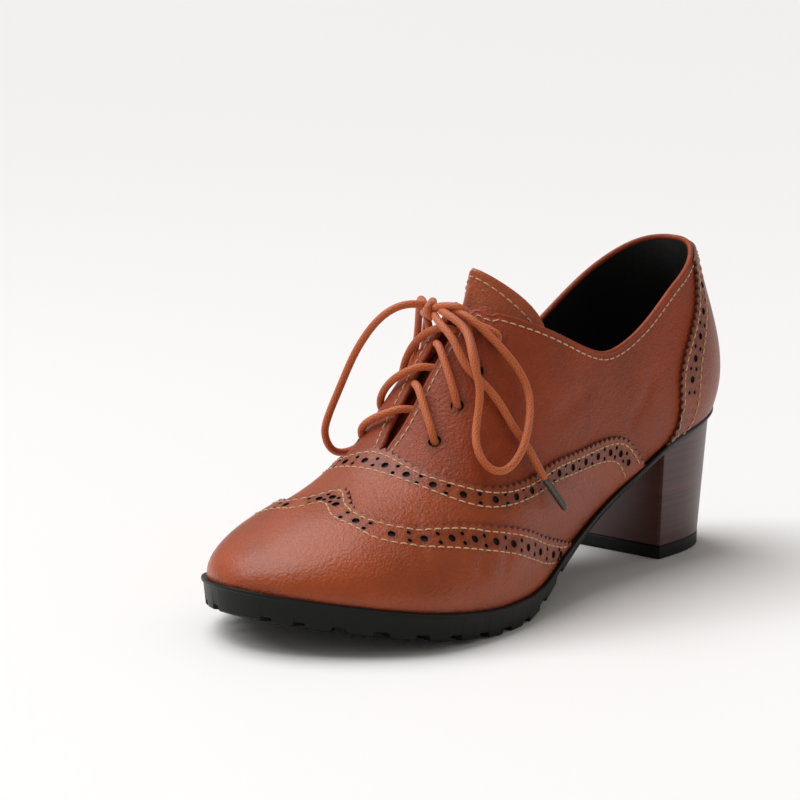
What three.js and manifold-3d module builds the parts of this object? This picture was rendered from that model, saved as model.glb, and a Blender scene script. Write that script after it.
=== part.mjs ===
// A left lace-up brogue pump: round toe, winged toe cap, block heel and lugged forepart sole.
// Lengths are millimetres. +X is the outer (lateral) side, -Y the toe and +Z up.
// Stations along the shoe are counted from the back of the heel towards the toe.

import * as THREE from "three";
import { ParametricGeometry } from "three/addons/geometries/ParametricGeometry.js";
import { mergeVertices } from "three/addons/utils/BufferGeometryUtils.js";
import Module from "manifold-3d";

const wasm = await Module();
wasm.setup();

// Driving dimensions of the last
const soleLength = 232;
const soleWidth = 88; // the tables' widths are shares of this
const seatHeight = 52.6; // top of the sole at the back of the heel
const ballHeight = 9.0; // top of the sole at the ball, lugs included
const toeSpring = 11.2; // rise of the sole from the ball to the tip of the toe
const lastHeight = 116; // the tables' heights are shares of this
const heelAxisStation = 38.3; // the heel is rounded about an upright line here
const ballStation = 158; // the tread leaves the floor here
const toeRadius = 48; // plan radius of the toe
const toeBoxLength = 30; // length over which the toe box reaches its height
const toeSwing = 8.3; // the tip of the toe lies this far to the inner side
const swingStation = 127.6; // the last starts to swing inwards here

// Driving dimensions of the sole and the heel
const randThickness = 3.4; // sole under the heel and the waist
const lipHeight = 1.4; // thin rim along the top of the sole's side
const lipOverhang = 0.6;
const soleTaper = 0.9; // the side draws in by this down to the tread
const lugDepth = 1.6;
const lugReach = 9.0; // how far a notch runs in from the edge
const lugGap = 4.6;
const lugPitch = 12.5;
const lugStart = 121; // reach of the first notch
const heelInset = 0.8; // top of the block inside the sole's edge
const heelBreastStation = 48.7;
const heelFootBreastStation = 45.8;
const heelFootBackStation = 4.0;
const heelFootWidth = 45.2;
const liftThickness = 5.0;

// Driving dimensions of the upper, the tongue and the lace
const upperWall = 1.8;
const overlayThickness = 0.9;
const insoleThickness = 2.4;
const tongueThickness = 1.8;
const tongueRise = 18; // length that stands free above the facings
const tongueTopStation = 121;
const tongueTopHeight = 109;
const tongueEndStation = 174;
const tongueRoot = 11; // over this length it comes up to the throat's end, where it is sewn in
const tongueSpan = { lateral: 0.4, medial: 0.28 }; // how far down from the ridge it reaches
const tongueSwing = 2; // its top lies this far further in than its root
const tongueFlare = 0.18; // its top edge is wider by this share
const tongueTilt = 0.95; // radians its top edge leans back round the ankle
const facingStation = 127.5; // top corners of the lace facings
const throatStation = 166.8; // closed end of the throat
const laceDiameter = 2.8;
const laceHoleDiameter = 4.6;
const laceRoom = 3.5; // between the facings and the tongue
const knotDiameter = 5.4;
const agletLength = 13;
const agletDiameter = 2.2;
const fitGap = 0.3; // between pieces that lie on each other
const tongueGap = 0.5; // between the tongue's root and the upper's inner side

// Half widths of the sole's edge, as shares of soleWidth, at shares of soleLength
const soleEdge = [
  { at: 0.165, lateral: 0.312, medial: 0.304 },
  { at: 0.25, lateral: 0.324, medial: 0.301 },
  { at: 0.33, lateral: 0.328, medial: 0.292 },
  { at: 0.41, lateral: 0.349, medial: 0.288 },
  { at: 0.49, lateral: 0.393, medial: 0.293 },
  { at: 0.56, lateral: 0.434, medial: 0.323 },
  { at: 0.63, lateral: 0.484, medial: 0.388 },
  { at: 0.7, lateral: 0.52, medial: 0.44 },
  { at: 0.77, lateral: 0.53, medial: 0.473 },
  { at: 0.85, lateral: 0.508, medial: 0.476 },
  { at: 0.93, lateral: 0.45, medial: 0.45 },
  { at: 1.0, lateral: 0.389, medial: 0.406 },
];

// Top of the sole behind the ball: its rise above ballHeight as a share of the whole rise
const seatRise = [
  { at: 0.0, share: 1.0 },
  { at: 0.1, share: 0.913 },
  { at: 0.2, share: 0.8 },
  { at: 0.3, share: 0.602 },
  { at: 0.4, share: 0.4 },
  { at: 0.5, share: 0.205 },
  { at: 0.58, share: 0.028 },
  { at: 0.62, share: 0.0 },
];

// Thickness of the sole: 0 is the rand's, 1 the forepart's
const soleBuild = [
  { at: 0.0, share: 0.0 },
  { at: 0.3, share: 0.03 },
  { at: 0.42, share: 0.15 },
  { at: 0.5, share: 0.4 },
  { at: 0.56, share: 0.68 },
  { at: 0.62, share: 1.0 },
];

// Cross sections of the last from the sole to the top. welt is the foot's distance inside the
// sole's edge, swell and rise place the bulge above it and ridge and top the section's top.
// welt, swell and ridge are shares of soleWidth, rise of the section's own height and top of
// lastHeight.
const lastSections = [
  { at: 0.165, welt: 0.017, swell: 0.045, rise: 0.3, ridge: 0, top: 1.0 },
  { at: 0.25, welt: 0.018, swell: 0.032, rise: 0.3, ridge: 0, top: 1.0 },
  { at: 0.35, welt: 0.029, swell: 0.026, rise: 0.3, ridge: 0, top: 1.0 },
  { at: 0.44, welt: 0.034, swell: 0.02, rise: 0.32, ridge: -0.01, top: 0.98 },
  { at: 0.53, welt: 0.043, swell: 0.018, rise: 0.38, ridge: -0.03, top: 0.895 },
  { at: 0.62, welt: 0.048, swell: 0.022, rise: 0.42, ridge: -0.04, top: 0.7 },
  { at: 0.7, welt: 0.049, swell: 0.028, rise: 0.46, ridge: -0.03, top: 0.5 },
  { at: 0.78, welt: 0.049, swell: 0.03, rise: 0.5, ridge: -0.01, top: 0.388 },
  { at: 0.86, welt: 0.049, swell: 0.03, rise: 0.52, ridge: 0, top: 0.325 },
  { at: 0.93, welt: 0.049, swell: 0.028, rise: 0.54, ridge: 0, top: 0.28 },
  { at: 1.0, welt: 0.049, swell: 0.026, rise: 0.55, ridge: 0, top: 0.255 },
];

// Their shoulders: outer and inner are half widths, drop the distance below the top and open the
// half width of the top itself, which is 0 where the last ends in a ridge. All are shares of the
// foot's half width, but drop is one of the section's height.
const lastShoulders = [
  { at: 0.165, outer: 0.96, inner: 0.96, drop: 0.42, open: 0.66 },
  { at: 0.25, outer: 0.95, inner: 0.95, drop: 0.42, open: 0.66 },
  { at: 0.35, outer: 0.92, inner: 0.92, drop: 0.36, open: 0.6 },
  { at: 0.44, outer: 0.83, inner: 0.86, drop: 0.22, open: 0.32 },
  { at: 0.53, outer: 0.62, inner: 0.72, drop: 0.04, open: 0 },
  { at: 0.62, outer: 0.52, inner: 0.72, drop: 0, open: 0 },
  { at: 0.7, outer: 0.52, inner: 0.7, drop: 0, open: 0 },
  { at: 0.78, outer: 0.56, inner: 0.64, drop: 0, open: 0 },
  { at: 0.86, outer: 0.6, inner: 0.63, drop: 0, open: 0 },
  { at: 0.93, outer: 0.63, inner: 0.63, drop: 0, open: 0 },
  { at: 1.0, outer: 0.65, inner: 0.65, drop: 0, open: 0 },
];

// The bulge and the lean of the back of the heel; lean and mouth are shares of soleLength
const heelBack = { swell: 0.115, rise: 0.3, drop: 0.42, lean: 0.028, mouth: 0.0375 };

// Height of the topline on either side, as shares of lastHeight, at shares of soleLength
const topline = [
  { at: -0.04, lateral: 0.962, medial: 0.962 },
  { at: 0.047, lateral: 0.953, medial: 0.953 },
  { at: 0.108, lateral: 0.9, medial: 0.893 },
  { at: 0.185, lateral: 0.824, medial: 0.805 },
  { at: 0.252, lateral: 0.75, medial: 0.725 },
  { at: 0.319, lateral: 0.692, medial: 0.672 },
  { at: 0.353, lateral: 0.681, medial: 0.664 },
  { at: 0.39, lateral: 0.697, medial: 0.682 },
  { at: 0.453, lateral: 0.755, medial: 0.752 },
  { at: 0.5, lateral: 0.797, medial: 0.805 },
  { at: 0.545, lateral: 0.832, medial: 0.845 },
];

// Plan of the throat between the facings, and the lace holes beside it, as shares of soleWidth
const throat = [
  { at: 0.5, lateral: 0.056, medial: -0.028 },
  { at: 0.552, lateral: 0.042, medial: -0.04 },
  { at: 0.588, lateral: 0.014, medial: -0.066 },
  { at: 0.645, lateral: -0.006, medial: -0.084 },
  { at: 0.685, lateral: -0.014, medial: -0.086 },
  { at: 0.71, lateral: -0.026, medial: -0.07 },
];
const laceHoles = [
  { at: 0.683, lateral: 0.13, medial: -0.23 },
  { at: 0.64, lateral: 0.143, medial: -0.232 },
  { at: 0.599, lateral: 0.148, medial: -0.215 },
  { at: 0.558, lateral: 0.153, medial: -0.165 },
];

// Upper edges of the overlays seen from the side: heights as shares of lastHeight
const vampEdge = [
  { at: 0.262, height: 0.25 },
  { at: 0.269, height: 0.334 },
  { at: 0.288, height: 0.372 },
  { at: 0.321, height: 0.425 },
  { at: 0.35, height: 0.437 },
  { at: 0.39, height: 0.437 },
  { at: 0.45, height: 0.428 },
  { at: 0.553, height: 0.403 },
  { at: 0.655, height: 0.387 },
  { at: 0.695, height: 0.405 },
  { at: 0.716, height: 0.435 },
  { at: 0.726, height: 0.52 },
];
const capEdge = [
  { at: 0.45, height: 0.12 },
  { at: 0.478, height: 0.178 },
  { at: 0.53, height: 0.222 },
  { at: 0.6, height: 0.254 },
  { at: 0.683, height: 0.294 },
  { at: 0.735, height: 0.309 },
  { at: 0.795, height: 0.313 },
  { at: 0.85, height: 0.314 },
];
// The cap's peak over the instep, in plan: across is counted from the ridge in shares of soleWidth
const capPeak = [
  { across: 0.0, at: 0.794 },
  { across: 0.045, at: 0.815 },
  { across: 0.095, at: 0.833 },
  { across: 0.15, at: 0.843 },
  { across: 0.21, at: 0.851 },
  { across: 0.27, at: 0.842 },
  { across: 0.34, at: 0.797 },
];
const capPeakCentre = -0.045;
const counterEdge = [
  { at: 0.09, height: 1.1 },
  { at: 0.094, height: 0.92 },
  { at: 0.112, height: 0.84 },
  { at: 0.137, height: 0.75 },
  { at: 0.17, height: 0.655 },
  { at: 0.186, height: 0.573 },
  { at: 0.187, height: 0.486 },
  { at: 0.195, height: 0.414 },
  { at: 0.224, height: 0.363 },
  { at: 0.236, height: 0.25 },
];

// How full the rounded ends are: 2 is a circle's quarter, more is squarer
const toeFullness = 2.15;
const toeBoxFullness = 2.3;
const heelFullness = 2.25;
const toeRisePower = 1.45;
const swingPower = 1.5;

// Fineness of the faceted surfaces
const reachSteps = 36;
const columnSteps = 8;
const heelCornerSteps = 8;
const heelSteps = 12;
const edgeSteps = 4; // between two rows of an overlay's edge
const tongueSteps = 12;
const tongueColumns = 8;
const laceSides = 8;
const holeSides = 8;
const wide = 90; // half width of the blocks that cut across the whole shoe
const high = 150;
const deep = 30;

// A natural cubic spline of one column of a table over another
function smoothCurve(rows, value, along = "at") {
  const x = rows.map((row) => row[along]);
  const y = rows.map((row) => row[value]);
  const last = x.length - 1;
  const slope = (i) => (y[i + 1] - y[i]) / (x[i + 1] - x[i]);
  const ratio = new Array(last + 1).fill(0);
  const bend = new Array(last + 1).fill(0);
  for (let i = 1; i < last; i++) {
    const span = x[i + 1] - x[i - 1];
    const share = (x[i] - x[i - 1]) / span;
    const pivot = share * ratio[i - 1] + 2;
    ratio[i] = (share - 1) / pivot;
    bend[i] = ((6 * (slope(i) - slope(i - 1))) / span - share * bend[i - 1]) / pivot;
  }
  bend[last] = 0;
  for (let i = last - 1; i > 0; i--) {
    bend[i] += ratio[i] * bend[i + 1];
  }
  return (at) => {
    let i = 0;
    while (i < last - 1 && at > x[i + 1]) i++;
    const width = x[i + 1] - x[i];
    const before = (x[i + 1] - at) / width;
    const after = (at - x[i]) / width;
    const bow = (before ** 3 - before) * bend[i] + (after ** 3 - after) * bend[i + 1];
    return before * y[i] + after * y[i + 1] + (bow * width * width) / 6;
  };
}

// The same without overshoot, level beyond its ends, for stretches that have to stay flat
function steadyCurve(rows, value, along = "at") {
  const x = rows.map((row) => row[along]);
  const y = rows.map((row) => row[value]);
  const last = x.length - 1;
  const slope = (i) => (y[i + 1] - y[i]) / (x[i + 1] - x[i]);
  const tangents = x.map((_, i) => {
    if (i === 0 || i === last) return slope(i === 0 ? 0 : last - 1);
    const product = slope(i - 1) * slope(i);
    return product <= 0 ? 0 : (2 * product) / (slope(i - 1) + slope(i));
  });
  return (at) => {
    const inside = Math.min(Math.max(at, x[0]), x[last]);
    let i = 0;
    while (i < last - 1 && inside > x[i + 1]) i++;
    const width = x[i + 1] - x[i];
    const t = (inside - x[i]) / width;
    const ease = t * t * (3 - 2 * t);
    const lead = t * (1 - t) * (1 - t) * tangents[i];
    const trail = t * t * (t - 1) * tangents[i + 1];
    return y[i] * (1 - ease) + y[i + 1] * ease + (lead + trail) * width;
  };
}

function bothSides(maker, rows, outer, inner) {
  return { lateral: maker(rows, outer), medial: maker(rows, inner) };
}
const edgeOf = bothSides(smoothCurve, soleEdge, "lateral", "medial");
const weltOf = smoothCurve(lastSections, "welt");
const swellOf = smoothCurve(lastSections, "swell");
const riseOf = smoothCurve(lastSections, "rise");
const shoulderOf = bothSides(smoothCurve, lastShoulders, "outer", "inner");
const dropOf = smoothCurve(lastShoulders, "drop");
const openOf = smoothCurve(lastShoulders, "open");
const ridgeOf = smoothCurve(lastSections, "ridge");
const topOf = smoothCurve(lastSections, "top");
const seatRiseOf = steadyCurve(seatRise, "share");
const soleBuildOf = steadyCurve(soleBuild, "share");
const throatOf = bothSides(steadyCurve, throat, "lateral", "medial");
const sideSign = { lateral: 1, medial: -1 };
const otherSide = { lateral: "medial", medial: "lateral" };
const sides = ["lateral", "medial"];

function place(x, station, z) {
  return new THREE.Vector3(x, -station, z);
}

// Rounds a width or a height off towards the end of the last
function roundOff(distance, length, fullness) {
  const share = Math.min(Math.max(distance / length, 0), 1);
  return (1 - (1 - share) ** fullness) ** (1 / fullness);
}

// Heights of the sole's top and of its tread
function soleTop(station) {
  const beyond = Math.max((station - ballStation) / (soleLength - ballStation), 0);
  const rise = (seatHeight - ballHeight) * seatRiseOf(station / soleLength);
  return ballHeight + rise + toeSpring * beyond ** toeRisePower;
}
function soleBottom(station) {
  const build = soleBuildOf(station / soleLength);
  return soleTop(station) - randThickness - (ballHeight - randThickness) * build;
}

function centreLine(station) {
  const share = Math.max((station - swingStation) / (soleLength - swingStation), 0);
  return -toeSwing * share ** swingPower;
}

// Half width in front of the heel's axis, drawn in by inset
function halfWidth(station, side, inset) {
  const width = edgeOf[side](station / soleLength) * soleWidth - inset;
  return width * roundOff(soleLength - inset - station, toeRadius - inset, toeFullness);
}

// Radius of the rounded heel at an angle that runs from the side (0) to the back (a quarter turn)
function heelRadius(angle, width, depth) {
  const across = (Math.cos(angle) / width) ** heelFullness;
  const along = (Math.sin(angle) / depth) ** heelFullness;
  return (across + along) ** (-1 / heelFullness);
}

function aroundHeel(radius, angle, side) {
  const across = sideSign[side] * radius * Math.cos(angle);
  return { x: across, station: heelAxisStation - radius * Math.sin(angle) };
}

// A reach runs along the shoe: round the heel, straight to the toe's round, and evenly round that
const toeStart = soleLength - toeRadius;
const fullReach = toeStart + (toeRadius * Math.PI) / 2;
function stationAt(reach, inset) {
  if (reach <= toeStart) return reach;
  return toeStart + (toeRadius - inset) * Math.sin((reach - toeStart) / toeRadius);
}
function heelAngle(reach) {
  return ((1 - reach / heelAxisStation) * Math.PI) / 2;
}

// Point of the sole's outline, drawn in by inset, as x and station
function solePoint(reach, side, inset) {
  if (reach < heelAxisStation) {
    const angle = heelAngle(reach);
    const radius = heelRadius(angle, halfWidth(heelAxisStation, side, inset), heelAxisStation - inset);
    return aroundHeel(radius, angle, side);
  }
  const station = stationAt(reach, inset);
  return { x: centreLine(station) + sideSign[side] * halfWidth(station, side, inset), station };
}

// Point of the last at a reach and a side; up runs from the sole (0) to the top (1)
function lastPoint(reach, side, up) {
  const back = reach < heelAxisStation;
  const welt = weltOf(Math.max(stationAt(reach, 0), heelAxisStation) / soleLength) * soleWidth;
  const station = Math.max(stationAt(reach, welt), heelAxisStation);
  const at = station / soleLength;
  const angle = back ? heelAngle(reach) : 0;
  const mix = Math.sin(angle) ** 2;
  const width = halfWidth(station, side, welt);
  const depth = heelAxisStation - welt;
  const blend = (value, atBack) => value * (1 - mix) + atBack * mix;
  const rounding = roundOff(soleLength - welt - station, toeRadius - welt, toeFullness);
  const around = (share, lean) => {
    if (!back) return share * width;
    return heelRadius(angle, share * width, depth - lean * soleLength);
  };
  const foot = around(1, 0);
  const bulge = foot + blend(swellOf(at), heelBack.swell) * soleWidth * rounding;
  const shoulder = around(shoulderOf[side](at), heelBack.lean);
  const mouth = around(Math.max(openOf(at), 0), heelBack.mouth);
  const low = soleTop(back ? heelAxisStation - foot * Math.sin(angle) : station);
  const boxRounding = roundOff(soleLength - welt - station, toeBoxLength, toeBoxFullness);
  const height = (topOf(at) * lastHeight - low) * boxRounding;
  const down = 1 - up;
  const [first, second, third, fourth] = [down ** 3, 3 * down * down * up, 3 * down * up * up, up ** 3];
  const out = first * foot + second * bulge + third * shoulder + fourth * mouth;
  const lowBend = second * blend(riseOf(at), heelBack.rise);
  const highBend = third * (1 - blend(dropOf(at), heelBack.drop));
  const z = low + height * (lowBend + highBend + fourth);
  const shift = centreLine(station) + fourth * ridgeOf(at) * soleWidth * rounding;
  if (back) return place(sideSign[side] * out * Math.cos(angle), heelAxisStation - out * Math.sin(angle), z);
  return place(shift + sideSign[side] * out, station, z);
}

// Outward direction there, from two short steps along the surface
const probeStep = 0.05;
const probeShare = 0.002;
function lastNormal(reach, side, up) {
  if (reach > fullReach - probeStep) return place(0, 1, 0);
  const atBack = reach < probeStep;
  const behind = atBack ? lastPoint(probeStep, otherSide[side], up) : lastPoint(reach - probeStep, side, up);
  const along = lastPoint(reach + probeStep, side, up).sub(behind);
  const rise = lastPoint(reach, side, Math.min(up + probeShare, 1));
  rise.sub(lastPoint(reach, side, Math.max(up - probeShare, 0)));
  const normal = new THREE.Vector3().crossVectors(rise, along).multiplyScalar(sideSign[side]);
  if (atBack) normal.x = 0;
  return normal.normalize();
}

// Point lifted off the last; the two sides agree on the direction where they meet at the ridge
const openShare = 0.3;
function liftedPoint(reach, side, up, lift) {
  const normal = lastNormal(reach, side, up);
  if (up === 1) {
    const other = lastNormal(reach, otherSide[side], up);
    const open = Math.max(openOf(Math.max(stationAt(reach, 0), heelAxisStation) / soleLength), 0);
    normal.addScaledVector(other, Math.max(1 - open / openShare, 0)).normalize();
  }
  return lastPoint(reach, side, up).addScaledVector(normal, lift);
}

// Turns a three.js geometry into a solid
function solidOf(geometry) {
  const plain = geometry.clone();
  plain.deleteAttribute("normal");
  plain.deleteAttribute("uv");
  const merged = mergeVertices(plain, 1e-4);
  const corners = merged.index.array;
  const kept = [];
  for (let i = 0; i < corners.length; i += 3) {
    const [a, b, c] = [corners[i], corners[i + 1], corners[i + 2]];
    if (a !== b && b !== c && a !== c) kept.push(a, b, c);
  }
  return new wasm.Manifold(
    new wasm.Mesh({
      numProp: 3,
      vertProperties: new Float32Array(merged.getAttribute("position").array),
      triVerts: new Uint32Array(kept),
    }),
  );
}

function united(solids) {
  return wasm.Manifold.union(solids);
}

// A closed surface from a ring of points at each step; the rings at its two ends have no area
function ringSolid(ringCount, stepCount, pointAt) {
  const surface = (u, v, target) => {
    target.copy(pointAt(Math.round(u * ringCount) % ringCount, Math.round(v * stepCount)));
  };
  return solidOf(new ParametricGeometry(surface, ringCount, stepCount));
}

// The last as a closed form, lifted by a distance and lengthened a little below the sole's top
const skirt = 4;
function lastForm(lift) {
  const half = columnSteps + 2;
  return ringSolid(2 * half, reachSteps, (ring, step) => {
    const side = ring < half ? "lateral" : "medial";
    const rung = ring < half ? ring : 2 * half - 1 - ring;
    const up = Math.max(rung - 1, 0) / columnSteps;
    const point = liftedPoint((step / reachSteps) * fullReach, side, up, lift);
    if (rung === 0) point.z -= skirt;
    return point;
  });
}

// A block across the whole shoe, or one side of it, from a side view of [station, z] corners
function sideBlock(corners, fromX = -wide, toX = wide) {
  const shape = new THREE.Shape(corners.map(([station, z]) => new THREE.Vector2(-station, z)));
  const geometry = new THREE.ExtrudeGeometry(shape, { depth: toX - fromX, bevelEnabled: false });
  const turn = new THREE.Matrix4();
  turn.makeBasis(new THREE.Vector3(0, 1, 0), new THREE.Vector3(0, 0, 1), new THREE.Vector3(1, 0, 0));
  turn.setPosition(fromX, 0, 0);
  return solidOf(geometry.applyMatrix4(turn));
}

// An upright block from a plan of [x, station] corners
function planBlock(corners, fromZ, toZ) {
  const shape = new THREE.Shape(corners.map(([x, station]) => new THREE.Vector2(x, -station)));
  const geometry = new THREE.ExtrudeGeometry(shape, { depth: toZ - fromZ, bevelEnabled: false });
  return solidOf(geometry.translate(0, 0, fromZ));
}

// Side view of everything between the sole's top, lifted, and a level
function overSole(lift, level) {
  const corners = [[-deep, soleTop(0) + lift]];
  for (let step = 0; step <= reachSteps; step++) {
    const { station } = solePoint((step / reachSteps) * fullReach, "lateral", 0);
    corners.push([station, soleTop(station) + lift]);
  }
  corners.push([soleLength + deep, soleTop(soleLength) + lift], [soleLength + deep, level], [-deep, level]);
  return corners;
}

// A table's edge as closely spaced corners, in millimetres
function edgeCorners(rows, value, along, valueScale, alongScale) {
  const curve = smoothCurve(rows, value, along);
  const count = (rows.length - 1) * edgeSteps;
  const from = rows[0][along];
  const span = rows[rows.length - 1][along] - from;
  const corners = [];
  for (let i = 0; i <= count; i++) {
    const share = from + (span * i) / count;
    corners.push([share * alongScale, curve(share) * valueScale]);
  }
  return corners;
}
function tableCorners(rows) {
  return rows.map((row) => [row.at * soleLength, row.height * lastHeight]);
}

// Place on the last over a station and a distance x from the middle plane, and its normal
const searchSteps = 24;
const lowestShare = 0.3;
function overLast(station, x) {
  const beyond = Math.max(station - toeStart, 0);
  const reach = Math.min(station, toeStart) + toeRadius * Math.asin(beyond / toeRadius);
  const ridge = lastPoint(reach, "lateral", 1).x;
  const side = x > ridge ? "lateral" : "medial";
  let low = lowestShare;
  let top = 1;
  for (let i = 0; i < searchSteps; i++) {
    const middle = (low + top) / 2;
    if (sideSign[side] * (lastPoint(reach, side, middle).x - x) > 0) low = middle;
    else top = middle;
  }
  const normal = lastNormal(reach, side, low);
  if (low > 1 - probeShare) {
    normal.add(lastNormal(reach, otherSide[side], low)).normalize();
  }
  return { point: lastPoint(reach, side, low), normal };
}

// A round tube along a smooth curve through points
function tube(points, diameter, steps) {
  const shape = new THREE.Shape();
  for (let i = 0; i < laceSides; i++) {
    const angle = (2 * Math.PI * i) / laceSides;
    const [x, y] = [(Math.cos(angle) * diameter) / 2, (Math.sin(angle) * diameter) / 2];
    if (i === 0) shape.moveTo(x, y);
    else shape.lineTo(x, y);
  }
  const path = new THREE.CatmullRomCurve3(points);
  return solidOf(new THREE.ExtrudeGeometry(shape, { extrudePath: path, steps, bevelEnabled: false }));
}

// A rod between two points
function rod(from, to, diameter, sidesCount) {
  const axis = to.clone().sub(from);
  const geometry = new THREE.CylinderGeometry(diameter / 2, diameter / 2, axis.length(), sidesCount);
  const upright = new THREE.Vector3(0, 1, 0);
  geometry.applyQuaternion(new THREE.Quaternion().setFromUnitVectors(upright, axis.clone().normalize()));
  geometry.translate((from.x + to.x) / 2, (from.y + to.y) / 2, (from.z + to.z) / 2);
  return solidOf(geometry);
}

// Sole: a lip over a slightly drawn-in side, with notches between the lugs of the forepart
const soleRing = [
  { inset: 0, level: "top" },
  { inset: 0, level: "lip" },
  { inset: lipOverhang, level: "lip" },
  { inset: lipOverhang + soleTaper, level: "bottom" },
];
function soleHeight(station, level) {
  if (level === "bottom") return soleBottom(station);
  return soleTop(station) - (level === "lip" ? lipHeight : 0);
}
function buildSole() {
  const half = soleRing.length;
  const blank = ringSolid(2 * half, reachSteps, (ring, step) => {
    const side = ring < half ? "medial" : "lateral";
    const { inset, level } = soleRing[ring < half ? ring : 2 * half - 1 - ring];
    const { x, station } = solePoint((step / reachSteps) * fullReach, side, inset);
    return place(x, station, soleHeight(station, level));
  });
  const notches = [];
  for (const side of sides) {
    for (let reach = lugStart; reach < fullReach - lugPitch / 2; reach += lugPitch) {
      notches.push(lugNotch(reach, side));
    }
  }
  return blank.subtract(united(notches));
}
function treadPoint(reach, side) {
  const { x, station } = solePoint(reach, side, lipOverhang + soleTaper);
  return place(x, station, soleBottom(station));
}
function lugNotch(reach, side) {
  const middle = treadPoint(reach, side);
  const along = treadPoint(reach + 1, side).sub(treadPoint(reach - 1, side)).normalize();
  const inward = new THREE.Vector3(0, 0, 1).cross(along).multiplyScalar(sideSign[side]).normalize();
  const upward = new THREE.Vector3().crossVectors(along, inward).multiplyScalar(sideSign[side]);
  const foot = lugGap / 2 + lugDepth / 4;
  const head = lugGap / 2 - lugDepth / 4;
  const shape = new THREE.Shape([
    new THREE.Vector2(-foot, -lugDepth),
    new THREE.Vector2(foot, -lugDepth),
    new THREE.Vector2(head, lugDepth),
    new THREE.Vector2(-head, lugDepth),
  ]);
  const geometry = new THREE.ExtrudeGeometry(shape, { depth: 2 * lugReach, bevelEnabled: false });
  geometry.translate(0, 0, -lugReach);
  const across = new THREE.Vector3().crossVectors(upward, inward);
  const turn = new THREE.Matrix4().makeBasis(across, upward, inward).setPosition(middle);
  return solidOf(geometry.applyMatrix4(turn));
}

// Heel: rounded at the back, flat at the breast, narrower at its foot than under the sole
function heelPoint(index, share) {
  const count = 2 * heelCornerSteps + 3;
  const side = index < count / 2 ? "lateral" : "medial";
  const turn = Math.min(index, count - 1 - index) - 1;
  const footHalf = heelFootWidth / 2;
  const half = footHalf + (halfWidth(heelAxisStation, side, lipOverhang + heelInset) - footHalf) * share;
  const back = heelFootBackStation + (lipOverhang + heelInset - heelFootBackStation) * share;
  const breast = heelFootBreastStation + (heelBreastStation - heelFootBreastStation) * share;
  if (turn < 0) return { x: sideSign[side] * half, station: breast };
  const angle = ((turn / heelCornerSteps) * Math.PI) / 2;
  return aroundHeel(heelRadius(angle, half, heelAxisStation - back), angle, side);
}
function heelBlock(fromZ, toZ, fromShare, toShare) {
  const count = 2 * heelCornerSteps + 3;
  const levels = [
    { z: fromZ, centred: true },
    { z: fromZ, share: fromShare },
    { z: toZ, share: toShare },
    { z: toZ, centred: true },
  ];
  return ringSolid(count, levels.length - 1, (ring, step) => {
    const { z, share, centred } = levels[step];
    if (centred) return place(0, heelAxisStation, z);
    const { x, station } = heelPoint(ring, share);
    return place(x, station, z);
  });
}
function buildHeel() {
  const foot = liftThickness + fitGap;
  const whole = heelBlock(foot, seatHeight, 0, 1);
  const corners = [];
  for (let i = 0; i <= heelSteps; i++) {
    const station = -deep + ((heelAxisStation + 2 * deep) * i) / heelSteps;
    corners.push([station, soleBottom(station) - fitGap]);
  }
  corners.push([heelAxisStation + deep, high], [-deep, high]);
  return whole.subtract(sideBlock(corners));
}

// Tongue: follows the underside of the facings, then rises out of the throat and curls back
function tongueSection(station, across, depth) {
  const side = across > 0 ? "lateral" : "medial";
  return liftedPoint(station, side, 1 - Math.abs(across) * tongueSpan[side], -depth);
}
function tongueDepth(station) {
  const sunk = Math.min((tongueEndStation - station) / tongueRoot, 1);
  return upperWall + tongueGap + (laceRoom - tongueGap) * sunk;
}
function tonguePoint(along, across, thickness) {
  const length = tongueEndStation - facingStation + tongueRise;
  const station = tongueEndStation - length * along;
  const depth = tongueDepth(station) + thickness;
  if (station >= facingStation) return tongueSection(station, across, depth);
  const share = (facingStation - station) / tongueRise;
  const root = tongueSection(facingStation, 0, tongueDepth(facingStation));
  const tip = place(root.x - tongueSwing, tongueTopStation, tongueTopHeight);
  const corner = tongueSection(facingStation, across * (1 + tongueFlare * share), depth).sub(root);
  corner.applyAxisAngle(new THREE.Vector3(1, 0, 0), tongueTilt * share);
  return root.lerp(tip, share).add(corner);
}
function buildTongue() {
  const half = tongueColumns + 1;
  return ringSolid(2 * half, tongueSteps + 2, (ring, step) => {
    const along = Math.min(Math.max(step - 1, 0), tongueSteps) / tongueSteps;
    const end = step === 0 || step === tongueSteps + 2;
    const outer = ring < half;
    const column = outer ? ring : 2 * half - 1 - ring;
    const thickness = end ? tongueThickness / 2 : outer ? 0 : tongueThickness;
    return tonguePoint(along, (2 * column) / tongueColumns - 1, thickness);
  });
}

// Upper: the wall between two forms, open at the collar, the throat and underneath
const collarCorner = { beyond: 2, above: 2.5, cut: 3 }; // rounds the topline into the facings
function collarCutters() {
  return sides.map((side) => {
    const corners = edgeCorners(topline, side, "at", lastHeight, soleLength);
    const [cornerStation, cornerHeight] = corners[corners.length - 1];
    corners.push([cornerStation + collarCorner.beyond, cornerHeight + collarCorner.above]);
    corners.push([cornerStation + collarCorner.cut, high]);
    corners.push([-deep, high], [-deep, corners[0][1]]);
    return side === "lateral" ? sideBlock(corners, 0, wide) : sideBlock(corners, -wide, 0);
  });
}
function throatCutter() {
  const steps = throat.length * edgeSteps;
  const [from, to] = [throat[0].at * soleLength, throatStation];
  const edge = (side, i) => {
    const station = from + ((to - from) * i) / steps;
    return [throatOf[side](station / soleLength) * soleWidth, station];
  };
  const corners = [];
  for (let i = 0; i <= steps; i++) corners.push(edge("lateral", i));
  for (let i = steps; i >= 0; i--) corners.push(edge("medial", i));
  const floor = soleTop(throatStation) + deep;
  return planBlock(corners, floor, high);
}
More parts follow.
